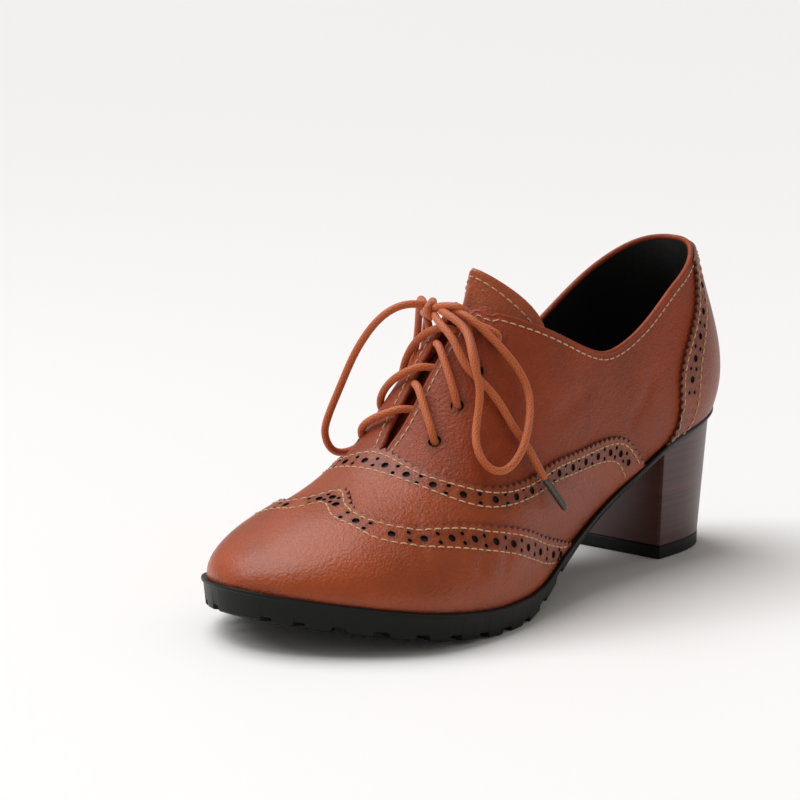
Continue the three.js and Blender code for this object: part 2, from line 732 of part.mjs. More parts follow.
function holeCutters() {
  const cutters = [];
  for (const row of laceHoles) {
    for (const side of sides) {
      const { point, normal } = overLast(row.at * soleLength, row[side] * soleWidth);
      const from = point.clone().addScaledVector(normal, -2 * upperWall);
      cutters.push(rod(from, point.addScaledVector(normal, 2 * upperWall), laceHoleDiameter, holeSides));
    }
  }
  return cutters;
}
const belowSole = sideBlock(overSole(fitGap, -deep));
const innerForm = lastForm(-upperWall);
const wallForm = lastForm(0);
const opening = united(collarCutters());
function buildUpper() {
  const cutters = united([innerForm, belowSole, opening, throatCutter(), ...holeCutters()]);
  return wallForm.subtract(cutters);
}

// Overlays: thin layers over the upper, each within its own outline
function layer(lift) {
  return lastForm(lift + overlayThickness).subtract(lastForm(lift));
}
const front = soleLength + deep;
function forwardOf(rows) {
  const corners = tableCorners(rows);
  const [[firstStation], [lastStation]] = [corners[0], corners[corners.length - 1]];
  return [...corners, [lastStation, high], [front, high], [front, -deep], [firstStation, -deep]];
}
const backLayer = layer(fitGap);
function buildVamp() {
  return backLayer.intersect(sideBlock(forwardOf(vampEdge))).subtract(belowSole);
}
function buildCap() {
  const wings = tableCorners(capEdge);
  const lastCorner = wings[wings.length - 1];
  const sideRegion = [...wings, [front, lastCorner[1]], [front, -deep], [wings[0][0], -deep]];
  const lateral = capPeak.map((row) => [(capPeakCentre + row.across) * soleWidth, row.at * soleLength]);
  const medial = capPeak.map((row) => [(capPeakCentre - row.across) * soleWidth, row.at * soleLength]);
  const plan = [...medial.slice(1).reverse(), ...lateral, [wide, front], [-wide, front]];
  const region = sideBlock(sideRegion).add(planBlock(plan, -deep, high));
  return layer(2 * fitGap + overlayThickness).intersect(region).subtract(belowSole);
}
function buildCounter() {
  const corners = tableCorners(counterEdge);
  const [[firstStation], [lastStation]] = [corners[0], corners[corners.length - 1]];
  const region = [...corners, [lastStation, -deep], [-deep, -deep], [-deep, high], [firstStation, high]];
  return backLayer.intersect(sideBlock(region)).subtract(united([belowSole, opening]));
}

// Insole: a plate on the sole, just inside the upper
function buildInsole() {
  const plate = lastForm(-upperWall - fitGap).intersect(sideBlock(overSole(fitGap, high)));
  return plate.subtract(sideBlock(overSole(fitGap + insoleThickness, high)));
}

// Lace: each strand comes out of a hole, crosses its own facing and dips into the throat
const laceLift = laceDiameter / 2 + fitGap;
const strandBow = { hole: 0.6, facing: 0.8, lip: 0.75 }; // rise over a lace that lies flat
const strandMiddle = 1.1; // lift of the strand's middle line over the throat
const strandTuck = -0.5; // and at its far side, where it goes under
const strandSteps = 6;
function overFacing(station, x, lift) {
  const { point, normal } = overLast(station, x);
  return point.addScaledVector(normal, lift);
}
function laceStrand(pair, side) {
  const [from, to] = [laceHoles[pair], laceHoles[pair + 1]];
  const across = to[otherSide[side]] - from[side];
  const lip = (throatOf[side](from.at) - from[side]) / across;
  const centre = (lip + (throatOf[otherSide[side]](to.at) - from[side]) / across) / 2;
  const far = 2 * centre - lip - laceLift / (Math.abs(across) * soleWidth);
  const at = (share, lift) => {
    const station = (from.at + (to.at - from.at) * share) * soleLength;
    return overFacing(station, (from[side] + across * share) * soleWidth, lift);
  };
  const points = [
    at(0, laceLift + strandBow.hole),
    at(lip / 2, laceLift + strandBow.facing),
    at(lip, laceLift + strandBow.lip),
    at(centre, strandMiddle),
    at(far, strandTuck),
  ];
  return tube(points, laceDiameter, strandSteps);
}
function buildCrossing(pair) {
  return united(sides.map((side) => laceStrand(pair, side)));
}

// Bow: the knot with the strands from the top holes, two loops and two free ends. Each row is
// a point of the cord's middle line: x, station and height in millimetres.
const knotRoute = [
  { x: -11.5, station: 133, z: 99.8 },
  { x: -7, station: 132.4, z: 100.2 },
  { x: -2.5, station: 131, z: 99.6 },
];
const leadRoutes = [
  [
    { x: 14.5, station: 130, z: 89.6 },
    { x: 9, station: 131.5, z: 94.6 },
    { x: 3, station: 132, z: 97.6 },
    { x: -3, station: 131.4, z: 99.4 },
  ],
  [
    { x: -15.6, station: 130, z: 91.6 },
    { x: -16.4, station: 131.5, z: 95.6 },
    { x: -14.6, station: 132.6, z: 98.8 },
    { x: -10, station: 132.8, z: 99.9 },
  ],
];
const lateralLoop = [
  { x: -5, station: 136.2, z: 99.2 },
  { x: 1, station: 139.6, z: 97 },
  { x: 9.4, station: 141, z: 92.4 },
  { x: 17, station: 146, z: 84 },
  { x: 20.6, station: 147, z: 74.6 },
  { x: 22.6, station: 151, z: 63.4 },
  { x: 26, station: 154.2, z: 56.6 },
  { x: 29.6, station: 153.6, z: 51.8 },
  { x: 32, station: 150, z: 50 },
  { x: 33.4, station: 145, z: 52 },
  { x: 33.6, station: 139.8, z: 57.8 },
  { x: 30.4, station: 133, z: 66.6 },
  { x: 26.6, station: 129.8, z: 74 },
  { x: 22.4, station: 131.4, z: 81.6 },
  { x: 15.6, station: 134.6, z: 89.6 },
  { x: 7.6, station: 136.4, z: 95.6 },
  { x: -0.8, station: 135.2, z: 100 },
];
const medialLoop = [
  { x: -10.6, station: 137.2, z: 100.4 },
  { x: -15, station: 143, z: 99.4 },
  { x: -20, station: 147.5, z: 95 },
  { x: -25, station: 150.7, z: 88.2 },
  { x: -29.5, station: 152.4, z: 80 },
  { x: -33, station: 153.6, z: 71.7 },
  { x: -36, station: 157.3, z: 59.9 },
  { x: -37, station: 157.6, z: 54 },
  { x: -37, station: 154.4, z: 48.6 },
  { x: -37, station: 148, z: 46.4 },
  { x: -36.6, station: 139, z: 48 },
  { x: -35, station: 129, z: 55 },
  { x: -33, station: 122, z: 66 },
  { x: -30.5, station: 119, z: 78 },
  { x: -27.6, station: 120.6, z: 88.6 },
  { x: -24, station: 124.4, z: 97 },
  { x: -19.8, station: 128.4, z: 101 },
  { x: -16.3, station: 131.2, z: 101.1 },
];
const lateralEnd = [
  { x: -9.4, station: 136.4, z: 97.4 },
  { x: -3, station: 140.6, z: 94.6 },
  { x: 5.6, station: 143, z: 89.4 },
  { x: 12.6, station: 144, z: 81.2 },
  { x: 18.4, station: 141.4, z: 75.2 },
  { x: 24, station: 139.4, z: 68.4 },
  { x: 27.4, station: 137.8, z: 62.4 },
  { x: 30.6, station: 135, z: 56.2 },
  { x: 33, station: 132.4, z: 50 },
  { x: 35, station: 130.2, z: 44.6 },
];
const lateralTip = { x: 37.6, station: 122, z: 33.5 };
const medialEnd = [
  { x: -12, station: 129.3, z: 100.5 },
  { x: -17, station: 124.5, z: 100.4 },
  { x: -22.8, station: 120, z: 97.4 },
  { x: -27.2, station: 116.6, z: 90 },
  { x: -30.6, station: 114, z: 79 },
  { x: -33.4, station: 112.4, z: 67 },
  { x: -35, station: 111, z: 56 },
  { x: -35.6, station: 109, z: 46.5 },
];
const medialTip = { x: -35.8, station: 104, z: 35 };
function route(rows) {
  return rows.map((row) => place(row.x, row.station, row.z));
}
function loopTube(rows) {
  return tube(route(rows), laceDiameter, rows.length);
}
function buildKnot() {
  const leads = leadRoutes.map((rows) => tube(route(rows), laceDiameter, rows.length));
  return united([tube(route(knotRoute), knotDiameter, knotRoute.length), ...leads]);
}
function buildAglet(end, tip) {
  const from = route(end)[end.length - 1];
  const axis = place(tip.x, tip.station, tip.z).sub(from).normalize();
  const start = from.clone().addScaledVector(axis, 2 * fitGap);
  return rod(start, start.clone().addScaledVector(axis, agletLength), agletDiameter, laceSides);
}

const pieces = [
  { name: "outsole", solid: buildSole(), color: "#26221f", roughness: 0.75 },
  { name: "heel", solid: buildHeel(), color: "#5d4542", roughness: 0.5 },
  {
    name: "top_lift",
    solid: heelBlock(0, liftThickness, 0, 0),
    color: "#2a2725",
    roughness: 0.8,
  },
  { name: "insole", solid: buildInsole(), color: "#241d1a", roughness: 0.7 },
  { name: "upper", solid: buildUpper(), color: "#9a5636", roughness: 0.35 },
  { name: "vamp", solid: buildVamp(), color: "#a8613e", roughness: 0.35 },
  { name: "toe_cap", solid: buildCap(), color: "#ab6541", roughness: 0.3 },
  { name: "counter", solid: buildCounter(), color: "#94522f", roughness: 0.35 },
  { name: "tongue", solid: buildTongue(), color: "#9a5a3c", roughness: 0.4 },
  { name: "lace_crossing_1", solid: buildCrossing(0), color: "#bf6c3a", roughness: 0.7 },
  { name: "lace_crossing_2", solid: buildCrossing(1), color: "#bf6c3a", roughness: 0.7 },
  { name: "lace_crossing_3", solid: buildCrossing(2), color: "#bf6c3a", roughness: 0.7 },
];
const cordPieces = [
  { name: "lace_knot", solid: buildKnot(), color: "#bf6c3a", roughness: 0.7 },
  { name: "lace_loop_lateral", solid: loopTube(lateralLoop), color: "#bf6c3a", roughness: 0.7 },
  { name: "lace_loop_medial", solid: loopTube(medialLoop), color: "#bf6c3a", roughness: 0.7 },
  { name: "lace_end_lateral", solid: loopTube(lateralEnd), color: "#bf6c3a", roughness: 0.7 },
  { name: "lace_end_medial", solid: loopTube(medialEnd), color: "#bf6c3a", roughness: 0.7 },
  { name: "aglet_lateral", solid: buildAglet(lateralEnd, lateralTip), color: "#513a2d", roughness: 0.4 },
  { name: "aglet_medial", solid: buildAglet(medialEnd, medialTip), color: "#513a2d", roughness: 0.4 },
];

function geometryOf(solid) {
  const mesh = solid.getMesh();
  const geometry = new THREE.BufferGeometry();
  geometry.setAttribute("position", new THREE.BufferAttribute(mesh.vertProperties, mesh.numProp));
  geometry.setIndex(new THREE.BufferAttribute(mesh.triVerts, 1));
  return geometry;
}

function addPiece(group, { name, solid, color, roughness }) {
  const material = new THREE.MeshStandardMaterial({ color, roughness, metalness: 0 });
  const mesh = new THREE.Mesh(geometryOf(solid), material);
  mesh.name = name;
  mesh.geometry.computeVertexNormals();
  group.add(mesh);
}

// The origin is the middle of the bounding box's bottom face, measured without the bow
const shoe = new THREE.Group();
for (const piece of pieces) addPiece(shoe, piece);
const bounds = new THREE.Box3().setFromObject(shoe);
const middle = bounds.getCenter(new THREE.Vector3());
for (const piece of cordPieces) addPiece(shoe, piece);
for (const mesh of shoe.children) mesh.geometry.translate(-middle.x, -middle.y, -bounds.min.z);

export default shoe;
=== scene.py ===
"""A left lace-up brogue pump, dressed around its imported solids. Lengths are metres."""

import math

import bpy
import numpy as np
from mathutils import Matrix, Vector
from mathutils.geometry import delaunay_2d_cdt
from mathutils.kdtree import KDTree


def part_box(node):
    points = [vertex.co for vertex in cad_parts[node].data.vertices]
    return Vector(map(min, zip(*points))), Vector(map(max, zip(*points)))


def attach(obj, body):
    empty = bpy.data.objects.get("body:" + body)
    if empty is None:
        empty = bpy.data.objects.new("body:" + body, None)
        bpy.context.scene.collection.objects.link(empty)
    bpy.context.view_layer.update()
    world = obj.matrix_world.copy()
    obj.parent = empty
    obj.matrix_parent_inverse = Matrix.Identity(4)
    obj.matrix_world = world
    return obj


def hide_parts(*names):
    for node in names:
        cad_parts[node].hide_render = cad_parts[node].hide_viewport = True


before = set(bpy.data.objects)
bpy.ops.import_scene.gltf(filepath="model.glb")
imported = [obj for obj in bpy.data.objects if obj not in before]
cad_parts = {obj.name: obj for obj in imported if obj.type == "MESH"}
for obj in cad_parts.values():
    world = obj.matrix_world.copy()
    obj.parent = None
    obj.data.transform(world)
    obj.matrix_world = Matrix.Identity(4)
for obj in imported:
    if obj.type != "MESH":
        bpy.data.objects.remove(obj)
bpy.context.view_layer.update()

bl_info = {
    "name": "Brogue pump",
    "version": (1, 0, 0),
    "blender": (4, 5, 0),
    "location": "View3D > Sidebar > Brogue pump",
    "description": "Dresses the solids of a left lace-up brogue pump",
    "category": "Object",
}

# The stage: azimuth, elevation and roll of the view in degrees, then lengths in metres, with
# the sensor's width and the lens in millimetres
VIEW_ANGLES = (40.3489, 10.4284, 0.4311)
VIEW_AIM = (0.12, 0.05)
VIEW_DISTANCE = 0.88605
VIEW_ASIDE = -0.027379
VIEW_RAISED = 0.014924
SENSOR_WIDTH = 36.0
FOCAL_LENGTH = 118.141
FLOOR_REACH = 9.0
GLOW_STRENGTH = 0.34
ROOF_ANGLE = 50
TOE_LAMP_WIDTH = 0.35

# The last, the sole and the heel have the solids' sizes
SOLE_LENGTH = 0.232
SOLE_WIDTH = 0.088
SEAT_HEIGHT = 0.0526
BALL_HEIGHT = 0.009
TOE_SPRING = 0.0112
LAST_HEIGHT = 0.116
HEEL_AXIS = 0.0383
BALL_STATION = 0.158
TOE_RADIUS = 0.048
TOE_BOX_LENGTH = 0.03
TOE_SWING = 0.0083
SWING_STATION = 0.1276
RAND_THICKNESS = 0.0034
LIP_HEIGHT = 0.0014
LIP_OVERHANG = 0.0006
SOLE_TAPER = 0.0009
LUG_DEPTH = 0.0016
LUG_REACH = 0.009
LUG_GAP = 0.0046
LUG_PITCH = 0.0125
LUG_START = 0.121
HEEL_INSET = 0.0008
HEEL_BREAST = 0.0487
HEEL_FOOT_BREAST = 0.0458
HEEL_FOOT_BACK = 0.004
HEEL_FOOT_WIDTH = 0.0452
HEEL_GAP = 0.0001
LIFT_THICKNESS = 0.005
UPPER_WALL = 0.0018
OVERLAY = 0.0009
TONGUE_THICKNESS = 0.0018
TONGUE_RISE = 0.018
TONGUE_TOP_STATION = 0.121
TONGUE_TOP_HEIGHT = 0.109
TONGUE_END = 0.174
TONGUE_ROOT = 0.011
TONGUE_SPAN = {1: 0.4, -1: 0.28}
TONGUE_SWING = 0.002
TONGUE_TILT = 0.95
TONGUE_FLARE = 0.18
TONGUE_ROUNDING = 0.05
TONGUE_ROUND_START = 0.8
TONGUE_ROLL = 0.0006
# The tongue's seam: where it starts and turns along the tongue, and its place across
TONGUE_SEAM = (0.72, 0.955, 0.9)
TONGUE_GAP = 0.0005
FACING_STATION = 0.1275
THROAT_STATION = 0.1668
LACE_ROOM = 0.0035
FIT_GAP = 0.0003
TOE_GAP = 0.0003
QUARTER_REACH = 0.19
LINING_INSET = 0.0001
RIM_SKIVING = 0.0002
COLLAR_END = 0.1245
FACING_START = 0.1325
# Corners of the facing's top: reach, and share of the rise from the collar to the facing
FACING_CORNERS = ((0.1268, 0.12), (0.1282, 0.9))
# Bare leather before a row's first punch, and before a seam's first stitch
VAMP_PUNCH_START = 0.009
CAP_PUNCH_START = 0.007
COUNTER_PUNCH_START = 0.008
TOPLINE_SEAM_START = 0.004
NEAR_SEAM_START = 0.003
SEAM_START = 0.002
COUNTER_TUCK = 0.0006
PUNCH_FLOOR = 0.15
GUARD_INSET = 0.0008
GRID_CLEARANCE = 0.55
GRAIN_DEPTH = 0.0006
GRAIN_STRENGTH = 0.65
TOE_FULLNESS = 2.15
TOE_BOX_FULLNESS = 2.3
HEEL_FULLNESS = 2.25
TOE_RISE_POWER = 1.45
SWING_POWER = 1.5

# Half widths of the sole's edge, as shares of the width, at shares of the length
SOLE_EDGE = {
    "at": (0.165, 0.25, 0.33, 0.41, 0.49, 0.56, 0.63, 0.7, 0.77, 0.85, 0.93, 1.0),
    "lateral": (0.312, 0.324, 0.328, 0.349, 0.393, 0.434, 0.484, 0.52, 0.53, 0.508, 0.45, 0.389),
    "medial": (0.304, 0.301, 0.292, 0.288, 0.293, 0.323, 0.388, 0.44, 0.473, 0.476, 0.45, 0.406),
}
SEAT_RISE = {
    "at": (0.0, 0.1, 0.2, 0.3, 0.4, 0.5, 0.58, 0.62),
    "share": (1.0, 0.913, 0.8, 0.602, 0.4, 0.205, 0.028, 0.0),
}
SOLE_BUILD = {
    "at": (0.0, 0.3, 0.42, 0.5, 0.56, 0.62),
    "share": (0.0, 0.03, 0.15, 0.4, 0.68, 1.0),
}
# Cross sections of the last, from the heel's axis to the toe
LAST = {
    "at": (0.165, 0.25, 0.35, 0.44, 0.53, 0.62, 0.7, 0.78, 0.86, 0.93, 1.0),
    "welt": (0.017, 0.018, 0.029, 0.034, 0.043, 0.048, 0.049, 0.049, 0.049, 0.049, 0.049),
    "swell": (0.045, 0.032, 0.026, 0.02, 0.018, 0.022, 0.028, 0.03, 0.03, 0.028, 0.026),
    "rise": (0.3, 0.3, 0.3, 0.32, 0.38, 0.42, 0.46, 0.5, 0.52, 0.54, 0.55),
    "outer": (0.96, 0.95, 0.92, 0.83, 0.62, 0.52, 0.52, 0.56, 0.6, 0.63, 0.65),
    "inner": (0.96, 0.95, 0.92, 0.86, 0.72, 0.72, 0.7, 0.64, 0.63, 0.63, 0.65),
    "drop": (0.42, 0.42, 0.36, 0.22, 0.04, 0, 0, 0, 0, 0, 0),
    "open": (0.66, 0.66, 0.6, 0.32, 0, 0, 0, 0, 0, 0, 0),
    "ridge": (0, 0, 0, -0.01, -0.03, -0.04, -0.03, -0.01, 0, 0, 0),
    "top": (1.0, 1.0, 1.0, 0.98, 0.895, 0.7, 0.5, 0.388, 0.325, 0.28, 0.255),
}
HEEL_BACK = {"swell": 0.115, "rise": 0.3, "drop": 0.42, "lean": 0.028, "mouth": 0.0375}
TOPLINE = {
    "at": (-0.04, 0.047, 0.108, 0.185, 0.252, 0.319, 0.353, 0.39, 0.453, 0.5, 0.545),
    "lateral": (0.962, 0.953, 0.9, 0.824, 0.75, 0.692, 0.681, 0.697, 0.755, 0.797, 0.832),
    "medial": (0.962, 0.953, 0.893, 0.805, 0.725, 0.672, 0.664, 0.682, 0.752, 0.805, 0.845),
}
THROAT = {
    "at": (0.5, 0.552, 0.588, 0.645, 0.685, 0.71),
    "lateral": (0.056, 0.042, 0.014, -0.006, -0.014, -0.026),
    "medial": (-0.028, -0.04, -0.066, -0.084, -0.086, -0.07),
}
LACE_HOLES = {
    "at": (0.683, 0.64, 0.599, 0.558),
    "lateral": (0.13, 0.143, 0.148, 0.153),
    "medial": (-0.23, -0.232, -0.215, -0.165),
}

# Seams on the outer side: station, distance from the middle plane and height. Each is laid
# on the last, and its mirror runs down the inner side.
VAMP_EDGE = (
    (0.1659, 0.0115, 0.0498),
    (0.1607, 0.0222, 0.0469),
    (0.152, 0.0292, 0.0448),
    (0.1282, 0.0315, 0.0468),
    (0.1039, 0.0297, 0.0498),
    (0.0905, 0.0282, 0.0508),
    (0.0788, 0.0277, 0.0505),
    (0.0745, 0.0277, 0.0491),
    (0.0663, 0.0275, 0.0419),
    (0.0624, 0.0271, 0.037),
)
VAMP_SEAM = (
    (0.1737, 0.0019, 0.0477),
    (0.1711, 0.0162, 0.0449),
    (0.1555, 0.0323, 0.0388),
    (0.1299, 0.0332, 0.0403),
    (0.1052, 0.0305, 0.0428),
    (0.0914, 0.0287, 0.0433),
    (0.0805, 0.0279, 0.0414),
    (0.0741, 0.0272, 0.0335),
)
CAP_EDGE = (
    (0.1903, 0.0048, 0.0403),
    (0.1915, 0.014, 0.0378),
    (0.1845, 0.0238, 0.0362),
    (0.1706, 0.0302, 0.0358),
    (0.1585, 0.0348, 0.0341),
    (0.139, 0.0366, 0.0293),
    (0.1109, 0.0324, 0.0195),
)
CAP_SEAM = (
    (0.1981, 0.0022, 0.0378),
    (0.1992, 0.0116, 0.0358),
    (0.1977, 0.021, 0.0331),
    (0.1903, 0.0288, 0.0313),
    (0.1767, 0.0351, 0.0294),
    (0.1641, 0.0383, 0.0272),
    (0.1485, 0.0393, 0.0232),
    (0.1226, 0.0349, 0.0155),
)
COUNTER_EDGE = (
    (0.0311, 0.0241, 0.0871),
    (0.039, 0.0261, 0.076),
    (0.0433, 0.0272, 0.0665),
    (0.0433, 0.0274, 0.0564),
    (0.045, 0.0268, 0.048),
    (0.052, 0.0267, 0.041),
)
COUNTER_SEAM = (
    (0.0222, 0.023, 0.0861),
    (0.0307, 0.0269, 0.0674),
    (0.0328, 0.0266, 0.0526),
    (0.0372, 0.0259, 0.0466),
    (0.0424, 0.0261, 0.043),
)
VAMP_RIDGE = (0.1686, -0.0035, 0.0576)
VAMP_SEAM_RIDGE = (0.1748, -0.0042, 0.0495)
CAP_RIDGE = (0.1845, -0.0033, 0.0432)
CAP_SEAM_RIDGE = (0.1944, -0.0042, 0.0394)
RIDGE_X = -0.0038
COUNTER_TOP_STATION = 0.0212
COUNTER_SEAM_TOP_STATION = 0.0135

# Heights of a strand over the last: under, in and beside its hole, then at half of the way to
# the throat's edge, at that edge and over the throat
STRAND_RISE = {
    "lateral": (-0.003, -0.0008, 0.0014, 0.0026, 0.0025, 0.0003),
    "medial": (-0.003, -0.0008, 0.0015, 0.0024, 0.0024, 0.001),
}
# The same for every strand: at the other facing's edge, under that facing and up to the next hole
STRAND_DIVE = (-0.0024, -0.0034, -0.0037, -0.0034)
# Shares of the way along the shoe at half of the way to the edge, at the edge and beyond it
STRAND_TURN = {"lateral": (0.4, 0.8, 1.0), "medial": (0.05, 0.15, 0.45)}

# Middle lines of the bow, from the knot
LATERAL_LOOP = (
    (-0.005, 0.1362, 0.097),
    (0.001, 0.1396, 0.0964),
    (0.0094, 0.141, 0.0924),
    (0.017, 0.146, 0.084),
    (0.0206, 0.147, 0.0746),
    (0.0226, 0.151, 0.0634),
    (0.026, 0.1542, 0.0566),
    (0.0296, 0.1536, 0.0518),
    (0.032, 0.15, 0.05),
    (0.0334, 0.145, 0.052),
    (0.0336, 0.1398, 0.0578),
    (0.0304, 0.133, 0.0666),
    (0.0266, 0.1298, 0.074),
    (0.0224, 0.1314, 0.0816),
    (0.0156, 0.1346, 0.0896),
    (0.0076, 0.1364, 0.0956),
    (-0.0008, 0.1356, 0.0974),
)
MEDIAL_LOOP = (
    (-0.0106, 0.1372, 0.0984),
    (-0.015, 0.143, 0.0984),
    (-0.02, 0.1475, 0.095),
    (-0.025, 0.1507, 0.0882),
    (-0.0295, 0.1524, 0.08),
    (-0.033, 0.1536, 0.0717),
    (-0.036, 0.1573, 0.0599),
    (-0.037, 0.1576, 0.054),
    (-0.037, 0.1544, 0.0486),
    (-0.037, 0.148, 0.0464),
    (-0.0366, 0.139, 0.048),
    (-0.035, 0.129, 0.055),
    (-0.033, 0.122, 0.066),
    (-0.0305, 0.119, 0.078),
    (-0.0276, 0.1206, 0.0886),
    (-0.024, 0.1244, 0.0954),
    (-0.0194, 0.129, 0.0984),
    (-0.014, 0.1335, 0.0974),
)
LATERAL_END = (
    (-0.007, 0.137, 0.0956),
    (-0.002, 0.1406, 0.0938),
    (0.0056, 0.143, 0.0894),
    (0.0126, 0.144, 0.0812),
    (0.0184, 0.1414, 0.0752),
    (0.024, 0.1394, 0.0684),
    (0.0274, 0.1378, 0.0624),
    (0.0306, 0.135, 0.0562),
    (0.033, 0.1324, 0.05),
    (0.035, 0.1302, 0.0446),
)
MEDIAL_END = (
    (-0.0124, 0.1314, 0.0974),
    (-0.017, 0.1256, 0.0976),
    (-0.0228, 0.12, 0.0954),
    (-0.0272, 0.1166, 0.089),
    (-0.0306, 0.114, 0.079),
    (-0.0334, 0.1124, 0.067),
    (-0.035, 0.111, 0.056),
    (-0.0356, 0.109, 0.0465),
)
LATERAL_LEAD = (
    (0.0145, 0.13, 0.0896),
    (0.009, 0.1325, 0.0928),
    (0.0035, 0.1346, 0.0946),
    (-0.001, 0.1356, 0.096),
)
MEDIAL_LEAD = (
    (-0.0156, 0.13, 0.0916),
    (-0.0156, 0.132, 0.0946),
    (-0.0136, 0.134, 0.0948),
    (-0.0096, 0.1354, 0.0956),
)
KNOT_BAR = (
    (-0.0075, 0.1366, 0.097),
    (-0.005, 0.1372, 0.0982),
    (-0.001, 0.137, 0.0988),
    (0.0025, 0.136, 0.0986),
    (0.004, 0.1344, 0.0972),
    (0.003, 0.1328, 0.0958),
)
KNOT_WRAP = (
    (-0.009, 0.1335, 0.0964),
    (-0.0092, 0.1345, 0.0976),
    (-0.009, 0.1368, 0.0984),
    (-0.0086, 0.1384, 0.0978),
    (-0.008, 0.1386, 0.0956),
    (-0.0074, 0.1374, 0.0942),
)
# Folds of the worn leather: rows of station, x, height, then width and depth
CREASES = (
    (((0.1935, 0.036, 0.026), (0.187, 0.03, 0.0315), (0.182, 0.022, 0.0355)), 0.0022, 0.0006),
    (((0.172, 0.0405, 0.021), (0.166, 0.0385, 0.027), (0.162, 0.034, 0.0315)), 0.002, 0.0006),
    (((0.16, 0.041, 0.018), (0.156, 0.039, 0.025), (0.152, 0.0365, 0.029)), 0.0018, 0.0005),
    (((0.15, 0.022, 0.056), (0.143, 0.0245, 0.0585), (0.137, 0.0265, 0.061)), 0.0022, 0.0006),
    (((0.142, 0.018, 0.07), (0.135, 0.0215, 0.0715), (0.128, 0.024, 0.0725)), 0.002, 0.0005),
    (((0.112, 0.0265, 0.062), (0.104, 0.027, 0.0655), (0.096, 0.0268, 0.0675)), 0.003, 0.0005),
    (((0.07, 0.0272, 0.055), (0.063, 0.0272, 0.061), (0.0585, 0.0268, 0.068)), 0.003, 0.0005),
)
LATERAL_TIP = (0.0376, 0.122, 0.0335)
MEDIAL_TIP = (-0.0358, 0.104, 0.035)
AGLET_LENGTH = 0.013

# The solids' origin: x of the shoe's middle plane and y of the back of the heel
_lift_low, _lift_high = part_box("top_lift")
ORIGIN_X = (_lift_low.x + _lift_high.x) / 2
ORIGIN_Y = _lift_low.y + HEEL_FOOT_BREAST


def srgb(red, green, blue):
    """A colour given as it shows on a screen, from 0 to 255."""
    shares = [value / 255 for value in (red, green, blue)]
    return tuple(s / 12.92 if s <= 0.04045 else ((s + 0.055) / 1.055) ** 2.4 for s in shares)


def length_of(name, description, default):
    return bpy.props.FloatProperty(
        name=name, description=description, default=default, min=0.0, unit="LENGTH", precision=5
    )


def colour_of(name, description, *screen):
    return bpy.props.FloatVectorProperty(
        name=name, description=description, default=srgb(*screen), size=3, min=0.0, max=1.0, subtype="COLOR"
    )


class BroguePumpSizes(bpy.types.PropertyGroup):
    """Sizes of the trim, which the solids leave out."""

    gimp_pitch: length_of("Gimp pitch", "Distance between two teeth of a gimped edge", 0.0029)
    gimp_depth: length_of("Gimp depth", "Depth of the teeth", 0.0013)
    punch_large: length_of("Large punch", "Diameter of the large holes", 0.0025)
    punch_small: length_of("Small punch", "Diameter of the paired holes", 0.0014)
    punch_pitch: length_of("Punch pitch", "Distance between two large holes", 0.0086)
    pair_spread: length_of("Pair spread", "Distance of a paired hole from the row's middle", 0.0016)
    margin: length_of("Margin", "From a gimped edge to its seam", 0.0026)
    stitch_length: length_of("Stitch length", "Length of a stitch", 0.0025)
    stitch_gap: length_of("Stitch gap", "Distance between two stitches", 0.0006)
    thread_diameter: length_of("Thread", "Diameter of the thread", 0.0005)
    fold_diameter: length_of("Topline fold", "Diameter of the folded topline", 0.0021)
    rim_seam: length_of("Topline seam", "From the topline to its seam", 0.0019)
    lace_diameter: length_of("Lace", "Diameter of the lace", 0.0026)
    lace_hole: length_of("Lace hole", "Diameter of the lace holes", 0.0044)
    aglet_diameter: length_of("Aglet", "Diameter of the lace's tips", 0.0024)
    crease_strength: bpy.props.FloatProperty(
        name="Creases",
        description="Depth of the folds, as a share of the worn shoe's",
        default=1.0,
        min=0.0,
        subtype="FACTOR",
    )


class BroguePumpColours(bpy.types.PropertyGroup):
    """Colours of the leathers, the thread, the lace and the sole."""

    quarter: colour_of("Quarters", "Leather of the quarters", 148, 58, 17)
    vamp: colour_of("Vamp", "Leather of the vamp", 156, 66, 23)
    cap: colour_of("Toe cap", "Leather of the toe cap", 158, 67, 24)
    counter: colour_of("Counter", "Leather of the counter", 142, 60, 22)
    tongue: colour_of("Tongue", "Leather of the tongue", 166, 76, 34)
    cut_edge: colour_of("Cut edge", "Raw edge of the leather", 92, 48, 30)
    # Painted shade: near-black on the floors and walls of the holes and on the backs of the pieces, in place
    # of the leather beneath.
    punch: colour_of("Punches", "Bottom of the punched holes", 22, 12, 9)
    lining: colour_of("Lining", "Lining and insole", 14, 13, 14)
    thread: colour_of("Thread", "Sewing thread", 230, 194, 150)
    lace: colour_of("Lace", "Waxed lace", 190, 90, 30)
    aglet: colour_of("Aglets", "Tips of the lace", 66, 52, 46)
    sole: colour_of("Sole", "Rubber of the sole", 6, 7, 6)
    lift: colour_of("Top lift", "Rubber under the heel", 14, 14, 14)
    heel: colour_of("Heel", "Dark layers of the heel", 44, 26, 26)
    heel_light: colour_of("Heel, light", "Light layers of the heel", 98, 58, 52)
    breast: colour_of("Heel breast", "Front face of the heel", 62, 28, 20)


def sizes():
    return bpy.context.scene.brogue_pump_sizes


def colours():
    return bpy.context.scene.brogue_pump_colours


